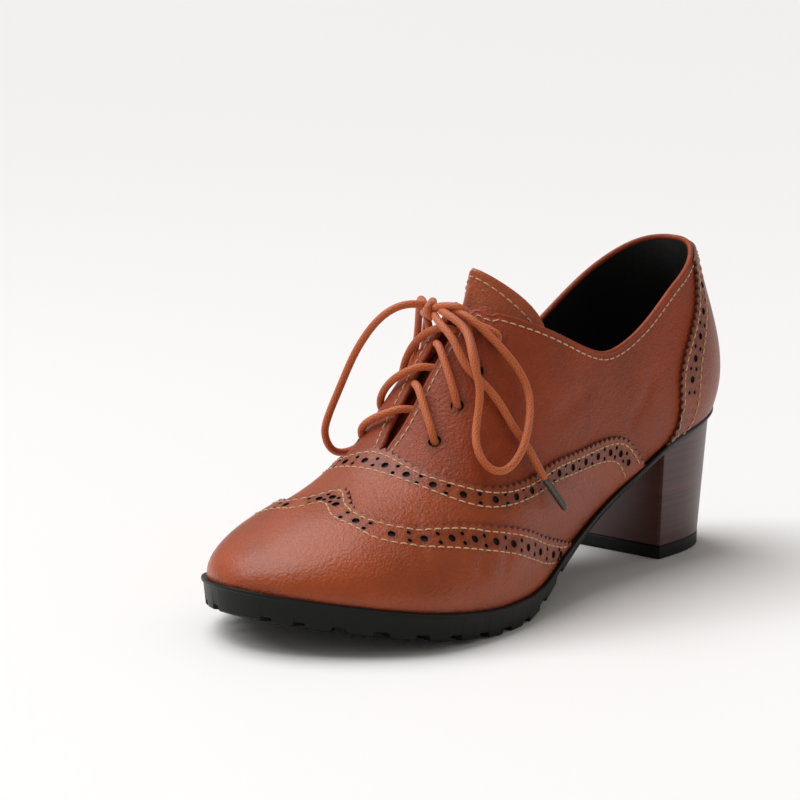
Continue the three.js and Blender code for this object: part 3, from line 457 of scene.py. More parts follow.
def smooth_curve(at, value):
    """A natural cubic spline of one column over another."""
    x, y = np.array(at, float), np.array(value, float)
    step, slope = np.diff(x), np.diff(y) / np.diff(x)
    system, right = np.eye(len(x)), np.zeros(len(x))
    for i in range(1, len(x) - 1):
        system[i, i - 1 : i + 2] = step[i - 1], 2 * (step[i - 1] + step[i]), step[i]
        right[i] = 6 * (slope[i] - slope[i - 1])
    bend = np.linalg.solve(system, right)

    def curve(t):
        i = np.clip(np.searchsorted(x, t) - 1, 0, len(x) - 2)
        before, after = (x[i + 1] - t) / step[i], (t - x[i]) / step[i]
        bow = (before**3 - before) * bend[i] + (after**3 - after) * bend[i + 1]
        return before * y[i] + after * y[i + 1] + bow * step[i] ** 2 / 6

    return curve


def steady_curve(at, value):
    """The same without overshoot, level beyond its ends."""
    x, y = np.array(at, float), np.array(value, float)
    slope = np.diff(y) / np.diff(x)
    product, total = slope[:-1] * slope[1:], slope[:-1] + slope[1:]
    inner = np.where(product > 0, 2 * product / np.where(product > 0, total, 1), 0)
    tangent = np.concatenate([slope[:1], inner, slope[-1:]])

    def curve(t):
        t = np.clip(t, x[0], x[-1])
        i = np.clip(np.searchsorted(x, t) - 1, 0, len(x) - 2)
        width = x[i + 1] - x[i]
        u = (t - x[i]) / width
        ease = u * u * (3 - 2 * u)
        lean = u * (1 - u) ** 2 * tangent[i] + u * u * (u - 1) * tangent[i + 1]
        return y[i] * (1 - ease) + y[i + 1] * ease + lean * width

    return curve


def columns(table, maker, *names):
    return [maker(table["at"], table[name]) for name in names]


edge_lateral, edge_medial = columns(SOLE_EDGE, smooth_curve, "lateral", "medial")
(seat_rise,) = columns(SEAT_RISE, steady_curve, "share")
(sole_build,) = columns(SOLE_BUILD, steady_curve, "share")
welt_of, swell_of, rise_of, outer_of, inner_of, drop_of, open_of, ridge_of, top_of = columns(
    LAST, smooth_curve, "welt", "swell", "rise", "outer", "inner", "drop", "open", "ridge", "top"
)
topline_lateral, topline_medial = columns(TOPLINE, smooth_curve, "lateral", "medial")
throat_lateral, throat_medial = columns(THROAT, steady_curve, "lateral", "medial")

TOE_START = SOLE_LENGTH - TOE_RADIUS
FULL_REACH = TOE_START + TOE_RADIUS * math.pi / 2


def round_off(distance, length, fullness):
    share = np.clip(distance / length, 0, 1)
    return (1 - (1 - share) ** fullness) ** (1 / fullness)


def sole_top(station):
    beyond = np.maximum((station - BALL_STATION) / (SOLE_LENGTH - BALL_STATION), 0)
    rise = (SEAT_HEIGHT - BALL_HEIGHT) * seat_rise(station / SOLE_LENGTH)
    return BALL_HEIGHT + rise + TOE_SPRING * beyond**TOE_RISE_POWER


def sole_bottom(station):
    build = sole_build(station / SOLE_LENGTH)
    return sole_top(station) - RAND_THICKNESS - (BALL_HEIGHT - RAND_THICKNESS) * build


def centre_line(station):
    share = np.maximum((station - SWING_STATION) / (SOLE_LENGTH - SWING_STATION), 0)
    return -TOE_SWING * share**SWING_POWER


def half_width(station, sign, inset):
    at = station / SOLE_LENGTH
    width = np.where(sign > 0, edge_lateral(at), edge_medial(at)) * SOLE_WIDTH - inset
    return width * round_off(SOLE_LENGTH - inset - station, TOE_RADIUS - inset, TOE_FULLNESS)


def heel_radius(angle, width, depth):
    across = (np.cos(angle) / width) ** HEEL_FULLNESS
    along = (np.sin(angle) / depth) ** HEEL_FULLNESS
    return (across + along) ** (-1 / HEEL_FULLNESS)


def station_at(reach, inset):
    turn = np.maximum(reach - TOE_START, 0) / TOE_RADIUS
    return np.where(reach <= TOE_START, reach, TOE_START + (TOE_RADIUS - inset) * np.sin(turn))


def placed(x, station, z):
    return np.stack([x + ORIGIN_X, ORIGIN_Y - station, z + 0 * x], -1)


def sole_point(reach, sign, inset):
    """The sole's outline, drawn in by inset, as x and station."""
    back = reach < HEEL_AXIS
    angle = np.where(back, (1 - reach / HEEL_AXIS) * math.pi / 2, 0)
    station = station_at(reach, inset)
    width = half_width(np.where(back, HEEL_AXIS, station), sign, inset)
    radius = heel_radius(angle, width, HEEL_AXIS - inset)
    x = np.where(back, radius * np.cos(angle), width) * sign
    return x + np.where(back, 0, centre_line(station)), np.where(
        back, HEEL_AXIS - radius * np.sin(angle), station
    )


def last_point(reach, sign, up):
    """The last's surface; up runs from the sole (0) to the top (1)."""
    reach, sign, up = np.broadcast_arrays(np.asarray(reach, float), sign, up)
    back = reach < HEEL_AXIS
    first_station = np.maximum(station_at(reach, 0), HEEL_AXIS)
    welt = welt_of(first_station / SOLE_LENGTH) * SOLE_WIDTH
    station = np.maximum(station_at(reach, welt), HEEL_AXIS)
    at = station / SOLE_LENGTH
    angle = np.where(back, (1 - reach / HEEL_AXIS) * math.pi / 2, 0)
    mix = np.sin(angle) ** 2
    width = half_width(station, sign, welt)
    depth = HEEL_AXIS - welt
    left = SOLE_LENGTH - welt - station
    rounding = round_off(left, TOE_RADIUS - welt, TOE_FULLNESS)

    def around(share, lean):
        with np.errstate(divide="ignore"):
            turned = heel_radius(angle, share * width, depth - lean * SOLE_LENGTH)
        return np.where(back, turned, share * width)

    def blend(value, at_back):
        return value * (1 - mix) + at_back * mix

    foot = around(1, 0)
    bulge = foot + blend(swell_of(at), HEEL_BACK["swell"]) * SOLE_WIDTH * rounding
    shoulder = around(np.where(sign > 0, outer_of(at), inner_of(at)), HEEL_BACK["lean"])
    mouth = around(np.maximum(open_of(at), 0), HEEL_BACK["mouth"])
    low = sole_top(np.where(back, HEEL_AXIS - foot * np.sin(angle), station))
    height = (top_of(at) * LAST_HEIGHT - low) * round_off(left, TOE_BOX_LENGTH, TOE_BOX_FULLNESS)
    down = 1 - up
    first, second, third, fourth = down**3, 3 * down * down * up, 3 * down * up * up, up**3
    out = first * foot + second * bulge + third * shoulder + fourth * mouth
    low_bend = second * blend(rise_of(at), HEEL_BACK["rise"])
    high_bend = third * (1 - blend(drop_of(at), HEEL_BACK["drop"]))
    z = low + height * (low_bend + high_bend + fourth)
    shift = centre_line(station) + fourth * ridge_of(at) * SOLE_WIDTH * rounding
    x = np.where(back, sign * out * np.cos(angle), shift + sign * out)
    return placed(x, np.where(back, HEEL_AXIS - out * np.sin(angle), station), z)


# Flat patterns of the last. The front one spreads both sides out from the ridge, and the back
# one both sides from the back of the heel. SPAN is the height of a side on the pattern.
SPAN = 0.09
PROBE = 0.0004


def seat(front, flat):
    """Reach, side and up of points of a flat pattern."""
    a, b = flat[..., 0], flat[..., 1]
    if front:
        return np.minimum(a, FULL_REACH), np.where(b >= 0, 1, -1), np.clip(1 - np.abs(b) / SPAN, 0, 1)
    return np.minimum(np.abs(a), FULL_REACH), np.where(a >= 0, 1, -1), np.clip(b / SPAN, 0, 1)


def bare(front, flat):
    return last_point(*seat(front, flat))


def tangents(front, flat, surface=bare):
    """Steps along the surface for a step in either direction of the pattern."""
    found = []
    for axis in (0, 1):
        ahead, behind = flat.copy(), flat.copy()
        ahead[..., axis] += PROBE
        behind[..., axis] -= PROBE
        if axis == 0:
            ahead[..., 0] = np.minimum(ahead[..., 0], FULL_REACH)
            behind[..., 0] = np.maximum(behind[..., 0], -FULL_REACH)
        elif front:
            ahead[..., 1], behind[..., 1] = np.minimum(ahead[..., 1], SPAN), np.maximum(behind[..., 1], -SPAN)
        else:
            ahead[..., 1], behind[..., 1] = np.minimum(ahead[..., 1], SPAN), np.maximum(behind[..., 1], 0)
        gap = (ahead - behind)[..., axis : axis + 1]
        found.append((surface(front, ahead) - surface(front, behind)) / np.maximum(gap, 1e-9))
    return found


def unit(vectors):
    return vectors / np.maximum(np.linalg.norm(vectors, axis=-1, keepdims=True), 1e-12)


def outward(front, flat, surface=bare):
    along, across = tangents(front, flat, surface)
    return unit(np.cross(along, across)) * (1 if front else -1)


def creases(points):
    """Depth of the listed folds at points of the last."""
    depth = np.zeros(points.shape[:-1])
    for line, width, deep in CREASES:
        way = placed(*(np.array(rows_of(line), float).T))
        best = np.full(depth.shape, 1e9)
        for start, end in zip(way[:-1], way[1:]):
            side = end - start
            share = np.clip(((points - start) @ side) / (side @ side), 0, 1)
            gap = points - start - share[..., None] * side
            best = np.minimum(best, np.linalg.norm(gap, axis=-1))
        depth -= deep * np.exp(-((best / width) ** 2))
    return depth * sizes().crease_strength


def skin(front, flat, lift=0.0):
    """The leather's surface, lifted off the last, with its folds."""
    points = bare(front, flat)
    return points + outward(front, flat) * (lift + creases(points))[..., None]


def moved(front, flat, steps):
    """The pattern points a short way off, along directions in space."""
    along, across = tangents(front, flat)
    aa, ab, bb = (along * along).sum(-1), (along * across).sum(-1), (across * across).sum(-1)
    ra, rb = (along * steps).sum(-1), (across * steps).sum(-1)
    spread = np.maximum(aa * bb - ab * ab, 1e-9)
    step = np.stack([(bb * ra - ab * rb) / spread, (aa * rb - ab * ra) / spread], -1)
    return flat + step


def located(front, rows):
    """Pattern points of the last's nearest places to station, x and height rows."""
    goal = placed(*(np.array(rows, float).T))
    if front:
        a, b = np.linspace(0.04, FULL_REACH - 0.001, 240), np.linspace(-SPAN, SPAN, 240)
    else:
        a, b = np.linspace(-0.2, 0.2, 400), np.linspace(0, SPAN, 120)
    flat = np.stack(np.meshgrid(a, b, indexing="ij"), -1).reshape(-1, 2)
    points = bare(front, flat)
    nearest = [int(np.argmin(((points - g) ** 2).sum(-1))) for g in goal]
    found = flat[nearest]
    for _ in range(4):
        found = moved(front, found, goal - bare(front, found))
        if front:
            found[:, 1] = np.clip(found[:, 1], -SPAN, SPAN)
        else:
            found[:, 1] = np.clip(found[:, 1], 0, SPAN)
    return found


def rows_of(rows):
    """Station, x, height rows in the order that placed() takes."""
    return [(x, station, z) for station, x, z in rows]


def mirrored(rows, middle):
    return [(station, 2 * middle - x, z) for station, x, z in rows]


class Trail:
    """A smooth line on a flat pattern, known by its length on the last."""

    def __init__(self, front, knots, count=600):
        self.front = front
        knots = np.array(knots, float)
        chord = np.concatenate([[0], np.cumsum(np.linalg.norm(np.diff(knots, axis=0), axis=1))])
        t = np.linspace(0, chord[-1], count)
        self.flat = np.stack([smooth_curve(chord, knots[:, k])(t) for k in (0, 1)], -1)
        self.measure()

    def measure(self):
        points = bare(self.front, self.flat)
        steps = np.linalg.norm(np.diff(points, axis=0), axis=1)
        self.run = np.concatenate([[0], np.cumsum(steps)])
        self.length = self.run[-1]

    def at(self, lengths):
        return np.stack([np.interp(lengths, self.run, self.flat[:, k]) for k in (0, 1)], -1)

    def facing(self, other, lengths):
        """Points of this line, the nearest of another, and the distances between them."""
        here, there_points = self.at(lengths), bare(self.front, other.flat)
        spots = bare(self.front, here)
        nearest = [int(np.argmin(((there_points - p) ** 2).sum(-1))) for p in spots]
        gap = np.linalg.norm(there_points[nearest] - spots, axis=-1)
        return here, other.flat[nearest], np.maximum(gap, 1e-6)


def line_of(front, flat):
    """A trail through pattern points that are close together already."""
    trail = Trail.__new__(Trail)
    trail.front, trail.flat = front, np.array(flat, float)
    trail.measure()
    return trail


def topline_height(station, sign):
    at = station / SOLE_LENGTH
    return np.where(sign > 0, topline_lateral(at), topline_medial(at)) * LAST_HEIGHT


def rim_up(reach, sign):
    """How far up a side the topline cuts it."""
    low, high = np.zeros_like(reach), np.ones_like(reach)
    for _ in range(30):
        middle = (low + high) / 2
        points = last_point(reach, sign, middle)
        under = points[:, 2] < topline_height(ORIGIN_Y - points[:, 1], sign)
        low, high = np.where(under, middle, low), np.where(under, high, middle)
    return low


def up_at(station, sign, x):
    """How far up a side it reaches a distance from the middle plane."""
    low, high = np.full_like(station, 0.3), np.ones_like(station)
    for _ in range(30):
        middle = (low + high) / 2
        outside = (last_point(station, sign, middle)[..., 0] - ORIGIN_X - x) * sign > 0
        low, high = np.where(outside, middle, low), np.where(outside, high, middle)
    return low


def throat_edge(station, sign):
    return (throat_lateral if sign > 0 else throat_medial)(station / SOLE_LENGTH) * SOLE_WIDTH


def rounded(flat, times=3):
    """A broken line with its corners cut, ends kept."""
    for _ in range(times):
        first, second = flat[:-1] * 0.75 + flat[1:] * 0.25, flat[:-1] * 0.25 + flat[1:] * 0.75
        flat = np.concatenate([flat[:1], np.stack([first, second], 1).reshape(-1, 2), flat[-1:]])
    return flat


def rim_side(sign):
    """The quarter's free edge on the back pattern, from the back of the heel to the throat's end."""
    reach = np.linspace(0, COLLAR_END, 110)
    collar = np.stack([reach * sign, rim_up(reach, sign) * SPAN], -1)
    station = np.linspace(FACING_START, THROAT_STATION, 40)
    facing = np.stack([station * sign, up_at(station, sign, throat_edge(station, sign)) * SPAN], -1)
    lip, top = collar[-1], facing[0]
    corners = [np.array([at * sign, lip[1] + (top[1] - lip[1]) * share]) for at, share in FACING_CORNERS]
    turn = rounded(np.array([lip, *corners, top]))
    end = np.array([[THROAT_STATION * sign, SPAN]])
    return np.concatenate([collar[:-1], turn, facing[1:], end])


# Meshes
def new_piece(name, verts, faces, materials, slots=None, normals=None, sharp=0.6):
    """An object of its own mesh; slots are its faces' materials and normals its corners'."""
    mesh = bpy.data.meshes.new(name)
    mesh.from_pydata(np.asarray(verts, float).tolist(), [], [list(map(int, f)) for f in faces])
    for material in materials:
        mesh.materials.append(material)
    if slots is not None:
        mesh.polygons.foreach_set("material_index", np.array(slots, np.int32))
    mesh.polygons.foreach_set("use_smooth", np.ones(len(mesh.polygons), bool))
    if normals is not None:
        mesh.normals_split_custom_set(np.asarray(normals, float).tolist())
    else:
        mesh.set_sharp_from_angle(angle=sharp)
    mesh.validate()
    piece = bpy.data.objects.new(name, mesh)
    bpy.context.scene.collection.objects.link(piece)
    return piece


def dress(piece, slot, *nodes):
    """The piece rides on the shoe and stands for its solids, which it hides; the slot is not used."""
    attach(piece, "root")
    if nodes:
        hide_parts(*nodes)
    return piece


def inside(polygon, points):
    """Which points lie within a closed outline."""
    x, y = points[:, 0:1], points[:, 1:2]
    ax, ay = polygon[:, 0], polygon[:, 1]
    bx, by = np.roll(ax, -1), np.roll(ay, -1)
    crosses = (ay > y) != (by > y)
    with np.errstate(divide="ignore", invalid="ignore"):
        at = (bx - ax) * (y - ay) / np.where(by == ay, 1e-12, by - ay) + ax
    return (crosses & (x < at)).sum(1) % 2 == 1


def hole_loop(front, centre, diameter, sides=12):
    """A round hole's outline on the pattern."""
    middle = np.repeat(np.array(centre, float)[None], sides, 0)
    along, _ = tangents(front, middle)
    normal = outward(front, middle)
    first = unit(along)
    second = np.cross(normal, first)
    turn = np.linspace(0, 2 * math.pi, sides, endpoint=False)[:, None]
    steps = (np.cos(turn) * first + np.sin(turn) * second) * diameter / 2
    return moved(front, middle, steps)


def inner_ring(front, outline, distance):
    """Points a little inside an outline that runs anticlockwise on its pattern."""
    points = bare(front, outline)
    way = unit(np.roll(points, -1, 0) - np.roll(points, 1, 0))
    inwards = np.cross(outward(front, outline), way) * (1 if front else -1)
    return moved(front, outline, inwards * distance)


def cut_piece(
    name, front, outline, lift, thickness, materials, punches=(), holes=(), spacing=0.0022, skived=0.0
):
    """A piece of leather cut to an outline on the flat pattern and laid on the last. Punches
    are blind and holes go through; each is a centre on the pattern and a diameter."""
    outline = np.array(outline, float)
    area = np.sum(outline[:, 0] * np.roll(outline[:, 1], -1) - np.roll(outline[:, 0], -1) * outline[:, 1])
    if area < 0:
        outline = outline[::-1]
    loops = [outline] + [hole_loop(front, centre, width) for centre, width in [*punches, *holes]]
    guard = inner_ring(front, outline, GUARD_INSET)
    guard = guard[inside(outline, guard)]
    tree = KDTree(sum(len(loop) for loop in loops) + len(guard))
    for flat in np.concatenate([*loops, guard]):
        tree.insert((flat[0], flat[1], 0), 0)
    tree.balance()
    low, high = outline.min(0), outline.max(0)
    grid = np.stack(
        np.meshgrid(*[np.arange(low[k], high[k], spacing) for k in (0, 1)], indexing="ij"), -1
    ).reshape(-1, 2)
    grid[:, 1] += np.where(np.round((grid[:, 0] - low[0]) / spacing) % 2 == 1, spacing / 2, 0)
    grid = grid[inside(outline, grid)]
    grid = grid[[tree.find((g[0], g[1], 0))[2] > spacing * GRID_CLEARANCE for g in grid]]
    flat = np.concatenate([*loops, guard, grid])
    edges, owner, start = [], [], 0
    for number, loop in enumerate(loops):
        count = len(loop)
        edges += [(start + i, start + (i + 1) % count) for i in range(count)]
        owner += [number] * count
        start += count
    owner += [-1] * (len(flat) - len(owner))
    made, _, triangles, origin, _, _ = delaunay_2d_cdt(
        [Vector(p) for p in flat * 1000], edges, [], 0, 1e-4, True
    )
    flat = np.array([tuple(p) for p in made]) / 1000
    loop_of = np.array([owner[min(ids)] if ids else 0 for ids in origin])
    triangles = np.array(triangles)
    triangles = triangles[inside(outline, flat[triangles].mean(1))]
    owners = loop_of[triangles]
    in_hole = (owners[:, 0] > 0) & (owners == owners[:, :1]).all(1)
    through = in_hole & (owners[:, 0] > len(punches))
    if not front:
        triangles = triangles[:, ::-1]
    top, floor = triangles[~in_hole], triangles[in_hole & ~through]
    count = len(flat)
    points, normals = bare(front, flat), outward(front, flat)
    fold = creases(points)
    rim = loop_of == 0

    def level(height):
        return points + normals * (height + fold)[:, None]

    upper = level(lift + thickness - skived * rim)
    lower, bottom = (level(np.full(count, lift + share * thickness)) for share in (0.0, PUNCH_FLOOR))
    verts = np.concatenate([upper, lower, bottom])
    shading = outward(front, flat, lambda side, q: skin(side, q, lift + thickness))
    directed = {(int(a), int(b)) for t in top for a, b in ((t[0], t[1]), (t[1], t[2]), (t[2], t[0]))}
    faces, slots, corners = [], [], []
    for t in top:
        faces.append(t)
        slots.append(0)
        corners += [shading[i] for i in t]
    # Slot 2 is the dark punch material on the quarters and overlays: painted shade on hole floors, backs and
    # hole walls.
    for t in floor:
        faces.append(t + 2 * count)
        slots.append(2)
        corners += [shading[i] for i in t]
    for t in np.concatenate([top, floor]):
        faces.append(t[::-1] + count)
        slots.append(2)
        corners += [-shading[i] for i in t]
    for a, b in directed:
        if (b, a) in directed:
            continue
        punched = loop_of[a] > 0 and loop_of[a] == loop_of[b] and loop_of[a] <= len(punches)
        down = 2 * count if punched else count
        wall = (a + down, b + down, b, a)
        normal = unit(np.cross(verts[wall[1]] - verts[wall[0]], verts[wall[3]] - verts[wall[0]]))
        faces.append(wall)
        slots.append(2 if loop_of[a] > 0 else 1)
        corners += [normal] * 4
    used = np.zeros(len(verts), bool)
    for face in faces:
        used[list(face)] = True
    number = np.cumsum(used) - 1
    piece = new_piece(name, verts[used], [number[list(f)] for f in faces], materials, slots, corners)
    # Painted shade: the rim mask darkens the leather along the cut outline (1.0) and round the holes (0.7).
    worn = np.zeros(len(verts), np.float32)
    worn[:count][rim] = 1.0
    worn[:count][loop_of > 0] = 0.7
    piece.data.attributes.new("rim", "FLOAT", "POINT").data.foreach_set("value", worn[used])
    return piece


def tubes(paths, sides_dir, radii, round_count=6):
    """Closed tubes along several paths at once: k paths of m points, a direction off each."""
    paths, sides_dir, radii = (np.asarray(v, float) for v in (paths, sides_dir, radii))
    k, m = paths.shape[:2]
    way = unit(np.gradient(paths, axis=1))
    up = unit(sides_dir - (sides_dir * way).sum(-1, keepdims=True) * way)
    side = np.cross(way, up)
    turn = np.linspace(0, 2 * math.pi, round_count, endpoint=False)
    ring = np.cos(turn)[:, None] * up[:, :, None] + np.sin(turn)[:, None] * side[:, :, None]
    verts = (paths[:, :, None] + ring * radii[:, :, None, None]).reshape(-1, 3)
    base = (np.arange(k) * m * round_count)[:, None, None]
    i, j = np.meshgrid(np.arange(m - 1), np.arange(round_count), indexing="ij")
    following = (j + 1) % round_count
    here, there = i * round_count, (i + 1) * round_count
    quads = np.stack([here + j, here + following, there + following, there + j], -1).reshape(1, -1, 4)
    faces = (quads + base).reshape(-1, 4).tolist()
    for p in range(k):
        first = p * m * round_count
        faces.append([first + c for c in range(round_count)][::-1])
        faces.append([first + (m - 1) * round_count + c for c in range(round_count)])
    return verts, faces


class Thread:
    """Rows of stitches that are gathered into one piece."""

    def __init__(self):
        self.verts, self.faces = [], []

    def add(self, verts, faces):
        start = sum(len(v) for v in self.verts)
        self.verts.append(verts)
        self.faces += [[start + i for i in face] for face in faces]

    def path(self, points, normals, begin=0.0, end=None):
        """Stitches along close points of a surface."""
        size = sizes()
        run = np.concatenate([[0], np.cumsum(np.linalg.norm(np.diff(points, axis=0), axis=1))])
        end = run[-1] if end is None else end
        count = max(int((end - begin) / (size.stitch_length + size.stitch_gap)), 1)
        u = np.linspace(0, 1, 7)
        lengths = begin + (np.arange(count)[:, None] + 0.5) * (end - begin) / count
        lengths = lengths + (u - 0.5) * size.stitch_length
        radius = size.thread_diameter / 2
        bow = np.sin(math.pi * u) ** 0.6
        spots, off = (
            np.stack([np.interp(lengths, run, values[:, k]) for k in range(3)], -1)
            for values in (points, normals)
        )
        off = unit(off)
        spots = spots + off * (radius * (1.5 * bow - 0.9))[None, :, None]
        radii = np.tile(radius * (0.72 + 0.28 * bow), (count, 1))
        self.add(*tubes(spots, off, radii))

    def row(self, trail, lift, begin=0.0, end=None):
        """Stitches along a line of the pattern, on leather at a lift."""
        self.path(skin(trail.front, trail.flat, lift), outward(trail.front, trail.flat), begin, end)

    def piece(self, name):
        made = new_piece(name, np.concatenate(self.verts), self.faces, [material("thread")], sharp=1.2)
        return dress(made, "waxed_cord")


def spline_points(rows, step=0.0006):
    """Close points along a smooth curve through x, station, height rows."""
    knots = placed(*(np.array(rows, float).T))
    chord = np.concatenate([[0], np.cumsum(np.linalg.norm(np.diff(knots, axis=0), axis=1) ** 0.5)])
    fine = np.linspace(0, chord[-1], 4000)
    points = np.stack([smooth_curve(chord, knots[:, k])(fine) for k in range(3)], -1)
    run = np.concatenate([[0], np.cumsum(np.linalg.norm(np.diff(points, axis=0), axis=1))])
    even = np.linspace(0, run[-1], max(int(run[-1] / step), 8))
    return np.stack([np.interp(even, run, points[:, k]) for k in range(3)], -1), run[-1]


def sweep(name, points, radius, finish, sides=14, blunt=True):
    """A round cord along close points, with its length and girth as its texture's directions."""
    way = unit(np.gradient(points, axis=0))
    side = unit(np.cross(way[0], (0.3, 0.2, 0.93)))
    frames = [side]
    for t in way[1:]:
        side = unit(frames[-1] - (frames[-1] @ t) * t)
        frames.append(side)
    first = np.array(frames)
    second = np.cross(way, first)
    size = np.full(len(points), radius)
    if blunt:
        near = np.array([0.75, 0.93, 1.0])
        size[:3] *= near
        size[-3:] *= near[::-1]
    turn = np.linspace(0, 2 * math.pi, sides, endpoint=False)
    ring = np.cos(turn)[None, :, None] * first[:, None] + np.sin(turn)[None, :, None] * second[:, None]
    verts = (points[:, None] + ring * size[:, None, None]).reshape(-1, 3)
    m = len(points)
    faces = []
    for i in range(m - 1):
        for j in range(sides):
            n = (j + 1) % sides
            faces.append((i * sides + j, i * sides + n, (i + 1) * sides + n, (i + 1) * sides + j))
    faces.append(tuple(range(sides))[::-1])
    faces.append(tuple((m - 1) * sides + j for j in range(sides)))
    piece = new_piece(name, verts, faces, [finish], sharp=1.2)
    run = np.concatenate([[0], np.cumsum(np.linalg.norm(np.diff(points, axis=0), axis=1))])
    uv = piece.data.uv_layers.new(name="girth")
    values = []
    for i in range(m - 1):
        for j in range(sides):
            for row, column in ((i, j), (i, j + 1), (i + 1, j + 1), (i + 1, j)):
                values += [column / sides, run[row]]
    values += [0.0, 0.0] * (2 * sides)
    uv.data.foreach_set("uv", values)
    return piece


def lofted(name, rings, materials, cap=True, sharp=0.6, slots=None):
    """A surface through rings of as many points each, closed at both ends."""
    rings = np.asarray(rings, float)
    m, n = rings.shape[:2]
    faces, parts = [], []
    for i in range(m - 1):
        for j in range(n):
            k = (j + 1) % n
            faces.append((i * n + j, i * n + k, (i + 1) * n + k, (i + 1) * n + j))
            parts.append(slots(i, j) if slots else 0)
    if cap:
        faces.append(tuple(range(n))[::-1])
        faces.append(tuple((m - 1) * n + j for j in range(n)))
        parts += [slots(-1, 0), slots(m, 0)] if slots else [0, 0]
    return new_piece(name, rings.reshape(-1, 3), faces, materials, parts, sharp=sharp)


# Materials: shared effects are groups that put out masks and heights only
def effect(name, inputs, outputs):
    """An empty node group with named number sockets."""
    tree = bpy.data.node_groups.new(name, "ShaderNodeTree")
    for label, default in inputs:
        socket = tree.interface.new_socket(label, in_out="INPUT", socket_type="NodeSocketFloat")
        socket.default_value = default
    for label in outputs:
        tree.interface.new_socket(label, in_out="OUTPUT", socket_type="NodeSocketFloat")
    return tree, tree.nodes.new("NodeGroupInput"), tree.nodes.new("NodeGroupOutput")


def sum_of(tree, kind, first, second):
    """A maths node of two numbers or sockets."""
    node = tree.nodes.new("ShaderNodeMath")
    node.operation = kind
    for socket, value in zip(node.inputs, (first, second)):
        if isinstance(value, (int, float)):
            socket.default_value = value
        else:
            tree.links.new(value, socket)
    return node.outputs[0]


def cells(tree, where, scale, feature="F1", noise=False, detail=3.0, rough=0.55, warp=0.0):
    """A noise or cell texture at a scale given by a number or a socket."""
    node = tree.nodes.new("ShaderNodeTexNoise" if noise else "ShaderNodeTexVoronoi")
    tree.links.new(where, node.inputs["Vector"])
    if isinstance(scale, (int, float)):
        node.inputs["Scale"].default_value = scale
    else:
        tree.links.new(scale, node.inputs["Scale"])
    if noise:
        node.inputs["Detail"].default_value = detail
        node.inputs["Roughness"].default_value = rough
        node.inputs["Distortion"].default_value = warp
        return node.outputs["Fac"]
    node.feature = feature
    return node.outputs["Distance"]


def leather_effect():
    """Leather: pores and fine wrinkles as a height, and mottling as a tone."""
    inputs = [("Pores per metre", 1100.0), ("Wrinkles", 0.5)]
    tree, start, end = effect("LeatherGrain", inputs, ["Height", "Tone"])
    where = tree.nodes.new("ShaderNodeTexCoord").outputs["Object"]
    shifted = tree.nodes.new("ShaderNodeMixRGB")
    shifted.inputs[0].default_value = 0.0009
    wander = tree.nodes.new("ShaderNodeTexNoise")
    wander.inputs["Scale"].default_value = 420.0
    tree.links.new(where, wander.inputs["Vector"])
    tree.links.new(where, shifted.inputs[1])
    tree.links.new(wander.outputs["Color"], shifted.inputs[2])
    pores = cells(tree, shifted.outputs[0], start.outputs["Pores per metre"], feature="SMOOTH_F1")
    fine = cells(tree, where, 2600.0, noise=True, detail=4.0)
    folds = cells(tree, where, 400.0, noise=True, detail=6.0, rough=0.62, warp=1.5)
    raised = sum_of(tree, "ADD", sum_of(tree, "MULTIPLY", pores, 0.55), sum_of(tree, "MULTIPLY", fine, 0.35))
    wrinkled = sum_of(tree, "MULTIPLY", folds, start.outputs["Wrinkles"])
    tree.links.new(sum_of(tree, "ADD", raised, wrinkled), end.inputs["Height"])
    broad = cells(tree, where, 38.0, noise=True, detail=3.0)
    small = cells(tree, where, 210.0, noise=True, detail=4.0)
    tone = sum_of(tree, "ADD", sum_of(tree, "MULTIPLY", broad, 0.7), sum_of(tree, "MULTIPLY", small, 0.3))
    tree.links.new(tone, end.inputs["Tone"])
    return tree


def rim_shade_effect():
    """Painted shade: a darker rim along cut edges, broken up by noise."""
    tree, start, end = effect("EdgeShade", [("Rim", 0.0), ("Reach", 0.5)], ["Mask"])
    where = tree.nodes.new("ShaderNodeTexCoord").outputs["Object"]
    spots = cells(tree, where, 600.0, noise=True)
    worn = sum_of(tree, "MULTIPLY", start.outputs["Rim"], sum_of(tree, "ADD", spots, start.outputs["Reach"]))
    clamp = tree.nodes.new("ShaderNodeClamp")
    tree.links.new(worn, clamp.inputs["Value"])
    tree.links.new(clamp.outputs[0], end.inputs["Mask"])
    return tree


def braid_effect():
    """Braid: strands crossing round a cord, from its girth and length, with painted shade in the grooves
    between strands.
    """
    tree, start, end = effect("LaceBraid", [("Strands", 8.0), ("Turns per metre", 460.0)], ["Height", "Tone"])
    lay = tree.nodes.new("ShaderNodeUVMap")
    lay.uv_map = "girth"
    split = tree.nodes.new("ShaderNodeSeparateXYZ")
    tree.links.new(lay.outputs[0], split.inputs[0])
    round_it = sum_of(tree, "MULTIPLY", split.outputs["X"], start.outputs["Strands"])
    along = sum_of(tree, "MULTIPLY", split.outputs["Y"], start.outputs["Turns per metre"])
    waves = []
    for kind in ("ADD", "SUBTRACT"):
        phase = sum_of(tree, "MULTIPLY", sum_of(tree, kind, round_it, along), 2 * math.pi)
        waves.append(sum_of(tree, "SINE", phase, 0.0))
    crossed = sum_of(tree, "MAXIMUM", *waves)
    where = tree.nodes.new("ShaderNodeTexCoord").outputs["Object"]
    fuzz = cells(tree, where, 2400.0, noise=True)
    tree.links.new(sum_of(tree, "ADD", sum_of(tree, "MULTIPLY", crossed, 0.5), fuzz), end.inputs["Height"])
    # Painted shade: the tone follows the strands' height, darker in the grooves and lighter on the crowns.
    tree.links.new(sum_of(tree, "MULTIPLY", sum_of(tree, "ADD", crossed, 1.2), 0.45), end.inputs["Tone"])
    return tree


